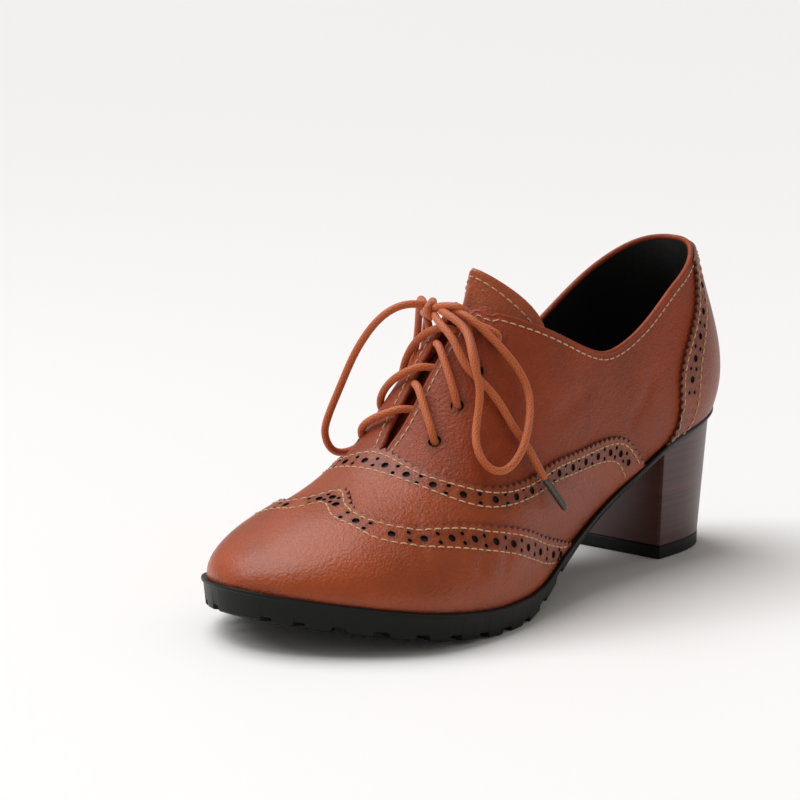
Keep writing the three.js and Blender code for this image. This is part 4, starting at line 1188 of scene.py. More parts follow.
def layer_effect():
    """Stack: the thin layers of a stacked heel as lines that bow a little."""
    tree, start, end = effect("StackedLayers", [("Layers per metre", 300.0)], ["Height", "Tone"])
    where = tree.nodes.new("ShaderNodeTexCoord").outputs["Object"]
    split = tree.nodes.new("ShaderNodeSeparateXYZ")
    tree.links.new(where, split.inputs[0])
    bow = cells(tree, where, 26.0, noise=True, detail=2.0)
    depth = sum_of(tree, "ADD", split.outputs["Z"], sum_of(tree, "MULTIPLY", bow, 0.004))
    join = tree.nodes.new("ShaderNodeCombineXYZ")
    tree.links.new(sum_of(tree, "MULTIPLY", depth, start.outputs["Layers per metre"]), join.inputs["Z"])
    lines = cells(tree, join.outputs[0], 1.0, noise=True, detail=3.0, rough=0.7)
    grain = cells(tree, where, 900.0, noise=True)
    tree.links.new(sum_of(tree, "ADD", lines, sum_of(tree, "MULTIPLY", grain, 0.2)), end.inputs["Height"])
    tree.links.new(lines, end.inputs["Tone"])
    return tree


EFFECTS = {
    "LeatherGrain": leather_effect,
    "EdgeShade": rim_shade_effect,
    "LaceBraid": braid_effect,
    "StackedLayers": layer_effect,
}


def placed_effect(tree, name, **values):
    node = tree.nodes.new("ShaderNodeGroup")
    node.node_tree = bpy.data.node_groups.get(name) or EFFECTS[name]()
    for label, value in values.items():
        node.inputs[label.replace("_", " ")].default_value = value
    return node


def shade(tree, tone, dark, light, low=0.3, high=0.7):
    """A colour between two, by a tone."""
    ramp = tree.nodes.new("ShaderNodeValToRGB")
    ramp.color_ramp.elements[0].position = low
    ramp.color_ramp.elements[1].position = high
    ramp.color_ramp.elements[0].color = (*dark, 1)
    ramp.color_ramp.elements[1].color = (*light, 1)
    tree.links.new(tone, ramp.inputs[0])
    return ramp.outputs[0]


def scaled(colour, factor):
    return tuple(min(channel * factor, 1.0) for channel in colour)


def base_material(name, roughness, coat=0.0, coat_roughness=0.2, level=0.5, sheen=0.0):
    made = bpy.data.materials.new(name)
    made.use_nodes = True
    shader = made.node_tree.nodes["Principled BSDF"]
    shader.inputs["Roughness"].default_value = roughness
    shader.inputs["Coat Weight"].default_value = coat
    shader.inputs["Coat Roughness"].default_value = coat_roughness
    shader.inputs["Specular IOR Level"].default_value = level
    shader.inputs["Sheen Weight"].default_value = sheen
    return made, made.node_tree, shader


def raise_by(tree, shader, height, distance, strength=1.0):
    bump = tree.nodes.new("ShaderNodeBump")
    bump.inputs["Distance"].default_value = distance
    bump.inputs["Strength"].default_value = strength
    tree.links.new(height, bump.inputs["Height"])
    tree.links.new(bump.outputs[0], shader.inputs["Normal"])


def rough_by(tree, shader, tone, low, high):
    spread = tree.nodes.new("ShaderNodeMapRange")
    spread.inputs["To Min"].default_value = low
    spread.inputs["To Max"].default_value = high
    tree.links.new(tone, spread.inputs["Value"])
    tree.links.new(spread.outputs[0], shader.inputs["Roughness"])


def leather(name, colour, roughness, coat, wrinkles=0.5, edge=None):
    """Smooth upper leather, with painted shade darkening its rim where the piece was cut."""
    made, tree, shader = base_material(name, roughness, coat, 0.22, 0.32)
    grain = placed_effect(tree, "LeatherGrain", Wrinkles=wrinkles)
    face = shade(tree, grain.outputs["Tone"], scaled(colour, 0.78), scaled(colour, 1.18))
    # Painted shade: the rim attribute mixes the face towards a dark edge colour along cut edges and round
    # holes.
    rim = tree.nodes.new("ShaderNodeAttribute")
    rim.attribute_name = "rim"
    worn = placed_effect(tree, "EdgeShade")
    tree.links.new(rim.outputs["Fac"], worn.inputs["Rim"])
    mixed = tree.nodes.new("ShaderNodeMixRGB")
    tree.links.new(worn.outputs[0], mixed.inputs[0])
    tree.links.new(face, mixed.inputs[1])
    mixed.inputs[2].default_value = (*(edge or scaled(colour, 0.45)), 1)
    tree.links.new(mixed.outputs[0], shader.inputs["Base Color"])
    rough_by(tree, shader, grain.outputs["Tone"], roughness - 0.05, roughness + 0.09)
    raise_by(tree, shader, grain.outputs["Height"], GRAIN_DEPTH, GRAIN_STRENGTH)
    return made


def plain_leather(name, colour, roughness):
    """Lining and cut edges: the same grain without a coat."""
    made, tree, shader = base_material(name, roughness)
    grain = placed_effect(tree, "LeatherGrain", Wrinkles=0.7)
    face = shade(tree, grain.outputs["Tone"], scaled(colour, 0.7), scaled(colour, 1.3))
    tree.links.new(face, shader.inputs["Base Color"])
    raise_by(tree, shader, grain.outputs["Height"], 0.0002, 0.6)
    return made


def rubber(name, colour, roughness):
    made, tree, shader = base_material(name, roughness, level=0.2)
    where = tree.nodes.new("ShaderNodeTexCoord").outputs["Object"]
    specks = cells(tree, where, 1500.0, noise=True, detail=5.0)
    smears = cells(tree, where, 60.0, noise=True, detail=4.0)
    face = shade(tree, smears, scaled(colour, 0.75), scaled(colour, 1.35))
    tree.links.new(face, shader.inputs["Base Color"])
    rough_by(tree, shader, smears, roughness - 0.1, roughness + 0.12)
    raise_by(tree, shader, specks, 0.00015, 0.5)
    return made


def stacked(name, colour, light, roughness):
    made, tree, shader = base_material(name, roughness, 0.15, 0.25, 0.4)
    layers = placed_effect(tree, "StackedLayers")
    face = shade(tree, layers.outputs["Tone"], colour, light, 0.32, 0.68)
    tree.links.new(face, shader.inputs["Base Color"])
    rough_by(tree, shader, layers.outputs["Tone"], roughness - 0.06, roughness + 0.1)
    raise_by(tree, shader, layers.outputs["Height"], 0.00018, 0.5)
    return made


def lace_material(name, colour):
    made, tree, shader = base_material(name, 0.52, 0.12, 0.35, sheen=0.15)
    braid = placed_effect(tree, "LaceBraid")
    face = shade(tree, braid.outputs["Tone"], scaled(colour, 0.72), scaled(colour, 1.12), 0.15, 0.85)
    tree.links.new(face, shader.inputs["Base Color"])
    raise_by(tree, shader, braid.outputs["Height"], 0.0002, 0.7)
    return made


def thread_material(name, colour):
    made, tree, shader = base_material(name, 0.55, sheen=0.2)
    where = tree.nodes.new("ShaderNodeTexCoord").outputs["Object"]
    twist = cells(tree, where, 3200.0, noise=True)
    face = shade(tree, twist, scaled(colour, 0.6), colour)
    tree.links.new(face, shader.inputs["Base Color"])
    raise_by(tree, shader, twist, 0.0001, 0.8)
    return made


def plastic_material(name, colour):
    made, tree, shader = base_material(name, 0.32, 0.3, 0.15)
    where = tree.nodes.new("ShaderNodeTexCoord").outputs["Object"]
    scuffs = cells(tree, where, 700.0, noise=True, detail=5.0)
    face = shade(tree, scuffs, scaled(colour, 0.7), scaled(colour, 1.3))
    tree.links.new(face, shader.inputs["Base Color"])
    rough_by(tree, shader, scuffs, 0.24, 0.42)
    raise_by(tree, shader, scuffs, 0.00008, 0.5)
    return made


def material(name):
    """One of the shoe's materials, made the first time it is asked for."""
    known = bpy.data.materials.get(name)
    if known:
        return known
    tint = colours()
    makers = {
        "quarter_leather": lambda n: leather(n, tint.quarter, 0.42, 0.03, 1.0),
        "vamp_leather": lambda n: leather(n, tint.vamp, 0.36, 0.14, 0.8),
        "cap_leather": lambda n: leather(n, tint.cap, 0.34, 0.18, 0.5),
        "counter_leather": lambda n: leather(n, tint.counter, 0.36, 0.1, 0.7),
        "tongue_leather": lambda n: leather(n, tint.tongue, 0.4, 0.4, 1.0),
        "cut_edge": lambda n: plain_leather(n, tint.cut_edge, 0.6),
        "punch_shadow": lambda n: plain_leather(n, tint.punch, 0.8),
        "lining": lambda n: plain_leather(n, tint.lining, 0.6),
        "thread": lambda n: thread_material(n, tint.thread),
        "lace": lambda n: lace_material(n, tint.lace),
        "aglet": lambda n: plastic_material(n, tint.aglet),
        "sole_side": lambda n: rubber(n, tint.sole, 0.42),
        "lift_side": lambda n: rubber(n, tint.lift, 0.5),
        "heel_layers": lambda n: stacked(n, tint.heel, tint.heel_light, 0.4),
        "heel_breast": lambda n: stacked(n, tint.breast, scaled(tint.breast, 1.7), 0.3),
    }
    return makers[name](name)


# Parts of the pattern
def beside(front, flat, distance):
    """A line moved to its left on the pattern, which is inwards on an anticlockwise outline."""
    points = bare(front, flat)
    way = unit(np.gradient(points, axis=0))
    left = np.cross(outward(front, flat), way) * (1 if front else -1)
    return moved(front, flat, left * np.reshape(distance, (-1, 1)))


def gimped(trail):
    """The line with teeth cut into its left side."""
    size = sizes()
    teeth = max(int(trail.length / size.gimp_pitch), 1)
    lengths = np.linspace(0, trail.length, teeth * 4 + 1)
    flat = trail.at(lengths)
    deep = np.tile((0.0, 0.45, 1.0, 0.45), teeth)
    return beside(trail.front, flat, np.append(deep, 0.0) * size.gimp_depth)


def run_of(start, end, spacing=0.0025):
    """Points from one place of the pattern to another, without the last."""
    start, end = np.array(start, float), np.array(end, float)
    count = max(int(np.linalg.norm(end - start) / spacing), 1)
    return start + (end - start) * (np.arange(count) / count)[:, None]


def row_beside(edge, seam, distance):
    """A line at a distance from an edge, on the side of its seam."""
    here, there, gap = edge.facing(seam, np.linspace(0, edge.length, 300))
    return line_of(edge.front, here + (there - here) * (distance / gap)[:, None])


def punches_between(edge, seam, begin, end):
    """Large holes with pairs of small ones between them, midway between two seams."""
    size = sizes()
    count = int((end - begin) / size.punch_pitch)
    steps = begin + (np.arange(2 * count + 1)) * (end - begin) / (2 * count)
    here, there, gap = edge.facing(seam, steps)
    found = []
    for number, (a, b, g) in enumerate(zip(here, there, gap)):
        middle = (size.margin + g) / 2
        if number % 2 == 0:
            found.append((a + (b - a) * middle / g, size.punch_large))
            continue
        for offset in (-size.pair_spread, size.pair_spread):
            found.append((a + (b - a) * (middle + offset) / g, size.punch_small))
    return found


def seam_round(rows, ridge):
    """A seam from the outer side over the ridge to the inner side, on the front pattern."""
    rows = list(rows)
    knots = rows[::-1] + [ridge] + mirrored(rows, RIDGE_X)
    flat = located(True, rows_of(knots))
    trail = Trail(True, flat)
    trail.flat[:, 1] = np.clip(trail.flat[:, 1], -SPAN, SPAN)
    trail.measure()
    return trail


def forepart(edge):
    """Outline of a piece that runs from an edge to the toe."""
    tip = FULL_REACH - TOE_GAP
    cut = gimped(edge)
    cut[:, 1] = np.clip(cut[:, 1], -SPAN, SPAN)
    cut[0, 1], cut[-1, 1] = SPAN, -SPAN
    around = [
        run_of((cut[-1, 0], -SPAN), (tip, -SPAN)),
        run_of((tip, -SPAN), (tip, SPAN), 0.006),
        run_of((tip, SPAN), (cut[0, 0], SPAN)),
    ]
    return np.concatenate([cut, around[0][1:], *around[1:]])


def hole_places():
    """The lace holes on the back pattern, from the throat's end up, on either side."""
    found = {}
    for sign, name in ((1, "lateral"), (-1, "medial")):
        station = np.array(LACE_HOLES["at"]) * SOLE_LENGTH
        x = np.array(LACE_HOLES[name]) * SOLE_WIDTH
        found[sign] = np.stack([station * sign, up_at(station, sign, x) * SPAN], -1)
    return found


def quarter_outline(front_reach):
    """Both quarters in one, with their free edge from throat to throat."""
    rim = np.concatenate([rim_side(1)[::-1], rim_side(-1)[1:]])
    parts = [
        run_of((-front_reach, 0), (front_reach, 0)),
        run_of((front_reach, 0), (front_reach, SPAN)),
        run_of((front_reach, SPAN), (THROAT_STATION, SPAN)),
        rim[:-1],
        run_of((-THROAT_STATION, SPAN), (-front_reach, SPAN)),
        run_of((-front_reach, SPAN), (-front_reach, 0)),
    ]
    return np.concatenate(parts), rim


def over_last(station, x, lift):
    """A place over the last, at a distance from the middle plane."""
    sign = 1 if x > float(bare(True, np.array([[station, 0.0]]))[0, 0] - ORIGIN_X) else -1
    up = up_at(np.array([station]), sign, x)
    flat = np.array([[station, sign * (1 - up[0]) * SPAN]])
    return (bare(True, flat) + outward(True, flat) * lift)[0]


def as_row(point):
    """A point of the shoe as x, station and height."""
    return (point[0] - ORIGIN_X, ORIGIN_Y - point[1], point[2])


def strand(pair, sign):
    """One strand of the lacing as x, station, height rows: out of its hole, over its own
    facing, down through the throat and under the other facing to the next hole."""
    names = {1: "lateral", -1: "medial"}
    start, end = LACE_HOLES["at"][pair], LACE_HOLES["at"][pair + 1]
    here, there = LACE_HOLES[names[sign]][pair], LACE_HOLES[names[-sign]][pair + 1]
    edges = [throat_edge(at * SOLE_LENGTH, side) / SOLE_WIDTH for at, side in ((start, sign), (end, -sign))]
    lip, far = ((edge - here) / (there - here) for edge in edges)
    places = (0, 0, 0.05, lip / 2, lip, (lip + far) / 2, far, far + 0.1, 0.93, 1)
    lifts = (*STRAND_RISE[names[sign]], *STRAND_DIVE)
    turns = np.interp(places, (0, lip / 2, lip, far, 1), (0, *STRAND_TURN[names[sign]], 1))
    rows = []
    for share, lift, turn in zip(places, lifts, turns):
        station = (start + (end - start) * turn) * SOLE_LENGTH
        rows.append(as_row(over_last(station, (here + (there - here) * share) * SOLE_WIDTH, lift)))
    return rows


def lacing_route():
    """The whole lace through the holes, from the knot down one side and up the other."""
    chains = []
    for first in (1, -1):
        rows = []
        for pair in range(3):
            sign = first * (1, -1, 1)[pair]
            steps = strand(pair, sign)
            rows += steps if pair == 0 else steps[1:]
        last = -first
        name = "lateral" if last > 0 else "medial"
        at, x = LACE_HOLES["at"][3] * SOLE_LENGTH, LACE_HOLES[name][3] * SOLE_WIDTH
        rows.append(as_row(over_last(at, x, -0.0008)))
        rows += list(LATERAL_LEAD if last > 0 else MEDIAL_LEAD)
        chains.append(rows)
    return chains[0][::-1] + chains[1]


# Operators, one for each piece or group of like pieces
def sew(name, rows):
    """One piece of thread from several rows: line, lift, and the bare length at either end."""
    thread = Thread()
    for trail, lift, bare_end in rows:
        thread.row(trail, lift, bare_end, trail.length - bare_end)
    return thread.piece(name)


def overlay(name, node, slot_name, lines, lift, punch_start):
    """A piece of the forepart with its gimped edge, its punches and its two seams."""
    edge, seam = (seam_round(*line) for line in lines)
    punches = punches_between(edge, seam, punch_start, edge.length - punch_start)
    parts = overlay_materials(slot_name)
    piece = cut_piece(name, True, forepart(edge), lift, OVERLAY, parts, punches)
    dress(piece, "tan_leather", node)
    top = lift + OVERLAY
    near = row_beside(edge, seam, sizes().margin)
    return [(near, top, NEAR_SEAM_START), (seam, top, SEAM_START)]


def overlay_materials(leather_name):
    return [material(leather_name), material("cut_edge"), material("punch_shadow")]


class BROGUE_OT_stage(bpy.types.Operator):
    """Floor, soft lights and the camera"""

    bl_idname = "brogue_pump.stage"
    bl_label = "Stage"

    def execute(self, context):
        scene = context.scene
        scene.view_settings.view_transform = "Standard"
        azimuth, elevation, roll = (math.radians(angle) for angle in VIEW_ANGLES)
        back = Vector(
            (
                math.sin(azimuth) * math.cos(elevation),
                -math.cos(azimuth) * math.cos(elevation),
                math.sin(elevation),
            )
        )
        right = Vector((math.cos(azimuth), math.sin(azimuth), 0))
        up = back.cross(right)
        turned = right * math.cos(roll) + up * math.sin(roll)
        lifted = up * math.cos(roll) - right * math.sin(roll)
        aim = Vector((ORIGIN_X, ORIGIN_Y - VIEW_AIM[0], VIEW_AIM[1]))
        place = aim + back * VIEW_DISTANCE + turned * VIEW_ASIDE + lifted * VIEW_RAISED
        lens = bpy.data.cameras.new("camera")
        lens.sensor_width = SENSOR_WIDTH
        lens.lens = FOCAL_LENGTH
        camera = bpy.data.objects.new("camera", lens)
        pose = Matrix((turned, lifted, back)).transposed().to_4x4()
        camera.matrix_world = Matrix.Translation(place) @ pose
        scene.collection.objects.link(camera)
        scene.camera = camera

        floor_mesh = bpy.data.meshes.new("floor")
        signs = ((-1, -1), (1, -1), (1, 1), (-1, 1))
        corners = [(x * FLOOR_REACH, y * FLOOR_REACH, 0) for x, y in signs]
        floor_mesh.from_pydata(corners, [], [(0, 1, 2, 3)])
        floor = bpy.data.objects.new("floor", floor_mesh)
        paper, _, shader = base_material("floor_paper", 0.55, level=0.3)
        shader.inputs["Base Color"].default_value = (*srgb(246, 246, 247), 1)
        floor_mesh.materials.append(paper)
        scene.collection.objects.link(floor)

        world = bpy.data.worlds.new("studio")
        world.use_nodes = True
        tree = world.node_tree
        glow = tree.nodes["Background"]
        glow.inputs["Color"].default_value = (*srgb(254, 248, 240), 1)
        glow.inputs["Strength"].default_value = GLOW_STRENGTH
        wall = tree.nodes.new("ShaderNodeBackground")
        wall.inputs["Color"].default_value = (*srgb(245, 245, 246), 1)
        seen = tree.nodes.new("ShaderNodeLightPath")
        mixed = tree.nodes.new("ShaderNodeMixShader")
        tree.links.new(seen.outputs["Is Camera Ray"], mixed.inputs[0])
        tree.links.new(glow.outputs[0], mixed.inputs[1])
        tree.links.new(wall.outputs[0], mixed.inputs[2])
        tree.links.new(mixed.outputs[0], tree.nodes["World Output"].inputs["Surface"])
        scene.world = world
        lamps = (
            ("roof", "SUN", (-0.45, -0.1, 1.0), 2.5),
            ("toe", "AREA", (-0.75, -0.75, 0.75), 2.2),
        )
        for name, kind, spot, power in lamps:
            light = bpy.data.lights.new(name, kind)
            light.energy = power
            if kind == "SUN":
                light.angle = math.radians(ROOF_ANGLE)
            else:
                light.size = TOE_LAMP_WIDTH
            lamp = bpy.data.objects.new(name, light)
            lamp.location = spot
            aimed = Vector((0, 0, VIEW_AIM[1])) - Vector(spot)
            lamp.rotation_euler = aimed.to_track_quat("-Z", "Y").to_euler()
            scene.collection.objects.link(lamp)
        return {"FINISHED"}


class BROGUE_OT_bow(bpy.types.Operator):
    """The bow: knot, two loops, two ends and their aglets"""

    bl_idname = "brogue_pump.bow"
    bl_label = "Bow"

    def execute(self, context):
        size = sizes()
        radius = size.lace_diameter / 2
        knot_parts = [
            sweep("knot_bar", spline_points(KNOT_BAR)[0], radius * 1.05, material("lace")),
            sweep("knot_wrap", spline_points(KNOT_WRAP)[0], radius, material("lace")),
        ]
        for part in knot_parts:
            dress(part, "waxed_cord", "lace_knot")
        routes = (
            ("bow_loop_lateral", LATERAL_LOOP, "lace_loop_lateral"),
            ("bow_loop_medial", MEDIAL_LOOP, "lace_loop_medial"),
            ("bow_end_lateral", LATERAL_END, "lace_end_lateral"),
            ("bow_end_medial", MEDIAL_END, "lace_end_medial"),
        )
        tips = {"bow_end_lateral": ("lateral", LATERAL_TIP), "bow_end_medial": ("medial", MEDIAL_TIP)}
        for name, rows, node in routes:
            points, length = spline_points(rows)
            piece = dress(sweep(name, points, radius, material("lace")), "waxed_cord", node)
            extras = knot_parts if name == "bow_loop_lateral" else []
            if name in tips:
                side, tip = tips[name]
                extras = [self.aglet(side, points[-1], placed(*(np.array(v) for v in tip)))]
        return {"FINISHED"}

    def aglet(self, side, start, tip):
        way = unit(tip - start)
        run = np.linspace(-0.0004, AGLET_LENGTH + 0.0006, 24)
        points = start + way * run[:, None]
        piece = sweep(f"aglet_tip_{side}", points, sizes().aglet_diameter / 2, material("aglet"))
        return dress(piece, "aglet_plastic", f"aglet_{side}")


class BROGUE_OT_lacing(bpy.types.Operator):
    """The lace through its holes, and its bar inside the lowest pair"""

    bl_idname = "brogue_pump.lacing"
    bl_label = "Lacing"

    def execute(self, context):
        points, _ = spline_points(lacing_route())
        piece = sweep("lacing", points, sizes().lace_diameter / 2, material("lace"))
        dress(piece, "waxed_cord", "lace_crossing_1", "lace_crossing_2", "lace_crossing_3")
        return {"FINISHED"}


class BROGUE_OT_quarters(bpy.types.Operator):
    """Quarters with their lining, folded topline and seam"""

    bl_idname = "brogue_pump.quarters"
    bl_label = "Quarters"

    def execute(self, context):
        size = sizes()
        outline, rim = quarter_outline(QUARTER_REACH)
        places = hole_places()
        holes = [(spot, size.lace_hole) for side in places.values() for spot in side]
        half = UPPER_WALL / 2
        skin_parts = [material("quarter_leather"), material("cut_edge"), material("punch_shadow")]
        quarters = cut_piece(
            "quarters", False, outline, -half, half, skin_parts, holes=holes, skived=RIM_SKIVING
        )
        dress(quarters, "tan_leather", "upper")
        inner, _ = quarter_outline(FULL_REACH - TOE_GAP)
        lining = cut_piece(
            "lining",
            False,
            inner,
            -UPPER_WALL,
            half - LINING_INSET,
            [material("lining")] * 3,
            holes=holes,
            spacing=0.0032,
        )
        dress(lining, "insole_leather")
        edge = line_of(False, rim)
        even = edge.at(np.linspace(0, edge.length, int(edge.length / 0.0008)))
        fold_line, fold_radius = skin(False, even, -half), size.fold_diameter / 2
        fold = sweep("topline_fold", fold_line, fold_radius, material("quarter_leather"), sides=12)
        dress(fold, "tan_leather")
        seam = line_of(False, beside(False, even, size.rim_seam))
        sew("topline_stitching", [(seam, 0.0, TOPLINE_SEAM_START)])
        return {"FINISHED"}


class BROGUE_OT_vamp(bpy.types.Operator):
    """Vamp with its gimped edge, punches and seams"""

    bl_idname = "brogue_pump.vamp"
    bl_label = "Vamp"

    def execute(self, context):
        lines = ((VAMP_EDGE, VAMP_RIDGE), (VAMP_SEAM, VAMP_SEAM_RIDGE))
        rows = overlay("vamp_leather", "vamp", "vamp_leather", lines, FIT_GAP, VAMP_PUNCH_START)
        sew("vamp_stitching", rows)
        return {"FINISHED"}


class BROGUE_OT_toe_cap(bpy.types.Operator):
    """Winged toe cap with its gimped edge, punches and seams"""

    bl_idname = "brogue_pump.toe_cap"
    bl_label = "Toe cap"

    def execute(self, context):
        lines = ((CAP_EDGE, CAP_RIDGE), (CAP_SEAM, CAP_SEAM_RIDGE))
        lift = 2 * FIT_GAP + OVERLAY
        rows = overlay("wing_cap", "toe_cap", "cap_leather", lines, lift, CAP_PUNCH_START)
        sew("cap_stitching", rows)
        return {"FINISHED"}


class BROGUE_OT_counter(bpy.types.Operator):
    """Counter round the heel with its gimped edges, punches and seams"""

    bl_idname = "brogue_pump.counter"
    bl_label = "Counter"

    def execute(self, context):
        lines = {}
        for sign in (1, -1):
            made = []
            for rows, top in ((COUNTER_EDGE, COUNTER_TOP_STATION), (COUNTER_SEAM, COUNTER_SEAM_TOP_STATION)):
                rows = list(rows) if sign > 0 else mirrored(rows, 0.0)
                reach = np.array([top])
                start = np.stack([reach * sign, rim_up(reach, sign) * SPAN - COUNTER_TUCK], -1)
                knots = np.concatenate([start, located(False, rows_of(rows))])
                trail = Trail(False, knots if sign < 0 else knots[::-1])
                trail.flat[:, 1] = np.clip(trail.flat[:, 1], 0, SPAN)
                trail.measure()
                made.append(trail)
            lines[sign] = made
        right, left = gimped(lines[1][0]), gimped(lines[-1][0])
        right[0, 1], left[-1, 1] = 0, 0
        reach = np.linspace(right[-1, 0], left[0, 0], 40)
        side = np.where(reach >= 0, 1, -1)
        rim = np.stack([reach, rim_up(np.abs(reach), side) * SPAN - COUNTER_TUCK], -1)
        outline = np.concatenate(
            [right, rim[1:-1], left, run_of((left[-1, 0], 0), (right[0, 0], 0))[1:]]
        )
        punches, rows = [], []
        top = FIT_GAP + OVERLAY
        for sign, (edge, seam) in lines.items():
            punches += punches_between(edge, seam, COUNTER_PUNCH_START, edge.length - COUNTER_PUNCH_START)
            near = row_beside(edge, seam, sizes().margin)
            rows += [(near, top, SEAM_START), (seam, top, SEAM_START)]
        crown = line_of(False, beside(False, rim, sizes().rim_seam))
        rows.append((crown, top, SEAM_START))
        parts = overlay_materials("counter_leather")
        piece = cut_piece("counter_leather", False, outline, FIT_GAP, OVERLAY, parts, punches)
        dress(piece, "tan_leather", "counter")
        sew("counter_stitching", rows)
        return {"FINISHED"}


def tongue_section(station, across, depth):
    span = np.where(across >= 0, TONGUE_SPAN[1], TONGUE_SPAN[-1])
    flat = np.stack([station + 0 * across, across * span * SPAN], -1)
    return bare(True, flat) - outward(True, flat) * depth[..., None]


def tongue_depth(station):
    sunk = np.minimum((TONGUE_END - station) / TONGUE_ROOT, 1)
    return UPPER_WALL + TONGUE_GAP + (LACE_ROOM - TONGUE_GAP) * sunk


def tongue_point(along, across, inset):
    """The tongue's surface; along runs from its root to its top edge, across from side to side."""
    along, across = np.broadcast_arrays(np.asarray(along, float), np.asarray(across, float))
    near_top = np.clip((along - TONGUE_ROUND_START) / (1 - TONGUE_ROUND_START), 0, 1)
    along = along - TONGUE_ROUNDING * across**6 * near_top**2
    station = TONGUE_END - (TONGUE_END - FACING_STATION + TONGUE_RISE) * along
    under = tongue_section(station, across, tongue_depth(station) + inset)
    share = np.clip((FACING_STATION - station) / TONGUE_RISE, 0, 1)[..., None]
    bend = np.full(along.shape, FACING_STATION)
    top = np.array([FACING_STATION])
    root = tongue_section(top, np.array([0.0]), tongue_depth(top))[0]
    tip = placed(as_row(root)[0] - TONGUE_SWING, TONGUE_TOP_STATION, TONGUE_TOP_HEIGHT)
    spread = across * (1 + TONGUE_FLARE * share[..., 0])
    corner = tongue_section(bend, spread, tongue_depth(bend) + inset) - root
    angle = TONGUE_TILT * share[..., 0]
    y = corner[..., 1] * np.cos(angle) - corner[..., 2] * np.sin(angle)
    z = corner[..., 1] * np.sin(angle) + corner[..., 2] * np.cos(angle)
    free = root + (tip - root) * share + np.stack([corner[..., 0], y, z], -1)
    return np.where(share > 0, free, under)


class BROGUE_OT_tongue(bpy.types.Operator):
    """Tongue with its folded top edge and seam"""

    bl_idname = "brogue_pump.tongue"
    bl_label = "Tongue"

    def execute(self, context):
        columns_count, steps = 28, 70
        across = np.linspace(-1, 1, columns_count)
        rings = []
        for along in np.linspace(0, 1, steps):
            outer = tongue_point(along, across, 0.0)
            inner = tongue_point(along, across, TONGUE_THICKNESS)[::-1]
            edge = [(outer[-1] + inner[0]) / 2, (inner[-1] + outer[0]) / 2]
            push = [unit(edge[0] - outer[-2]) * TONGUE_ROLL, unit(edge[1] - outer[1]) * TONGUE_ROLL]
            rings.append(np.concatenate([outer, [edge[0] + push[0]], inner, [edge[1] + push[1]]]))
        rings = np.array(rings)
        ends = []
        for ring, beyond in ((rings[0], rings[1]), (rings[-1], rings[-2])):
            outer, inner = ring[:columns_count], ring[columns_count + 1 : -1][::-1]
            away = unit(ring[:columns_count] - beyond[:columns_count])
            middle = (outer + inner) / 2 + away * TONGUE_ROLL
            ends.append(np.concatenate([middle, middle[-1:], middle[::-1], middle[:1]]))
        rings = np.concatenate([ends[0][None], rings, ends[1][None]])
        piece = lofted(
            "tongue_leather",
            rings[:, ::-1],
            [material("tongue_leather"), material("lining")],
            cap=False,
            sharp=1.4,
            slots=lambda i, j: 1 if j < columns_count else 0,
        )
        dress(piece, "tan_leather", "tongue")
        seam_start, seam_top, seam_side = TONGUE_SEAM
        side = np.linspace(seam_start, seam_top, 40)
        top = np.linspace(-seam_side, seam_side, 80)
        along = np.concatenate([side, np.full(len(top), seam_top), side[::-1]])
        way = np.concatenate([np.full(len(side), -seam_side), top, np.full(len(side), seam_side)])
        spots = tongue_point(along, way, 0.0)
        ahead = tongue_point(along + 0.01, way, 0.0) - tongue_point(along - 0.01, way, 0.0)
        aside = tongue_point(along, way + 0.02, 0.0) - tongue_point(along, way - 0.02, 0.0)
        thread = Thread()
        thread.path(spots, unit(np.cross(aside, ahead)))
        thread.piece("tongue_stitching")
        return {"FINISHED"}


def lug_marks():
    """Middles of the notches between the lugs, and half of a notch's width at its foot and head."""
    centres = np.arange(LUG_START, FULL_REACH - LUG_PITCH / 2, LUG_PITCH)
    return centres, LUG_GAP / 2 + LUG_DEPTH / 4, LUG_GAP / 2 - LUG_DEPTH / 4


def lug_rise(reach):
    """Depth of the notches, along the edge."""
    centres, foot, head = lug_marks()
    gap = np.min(np.abs(reach[:, None] - centres), axis=1)
    return LUG_DEPTH * np.clip((foot - gap) / (foot - head), 0, 1)


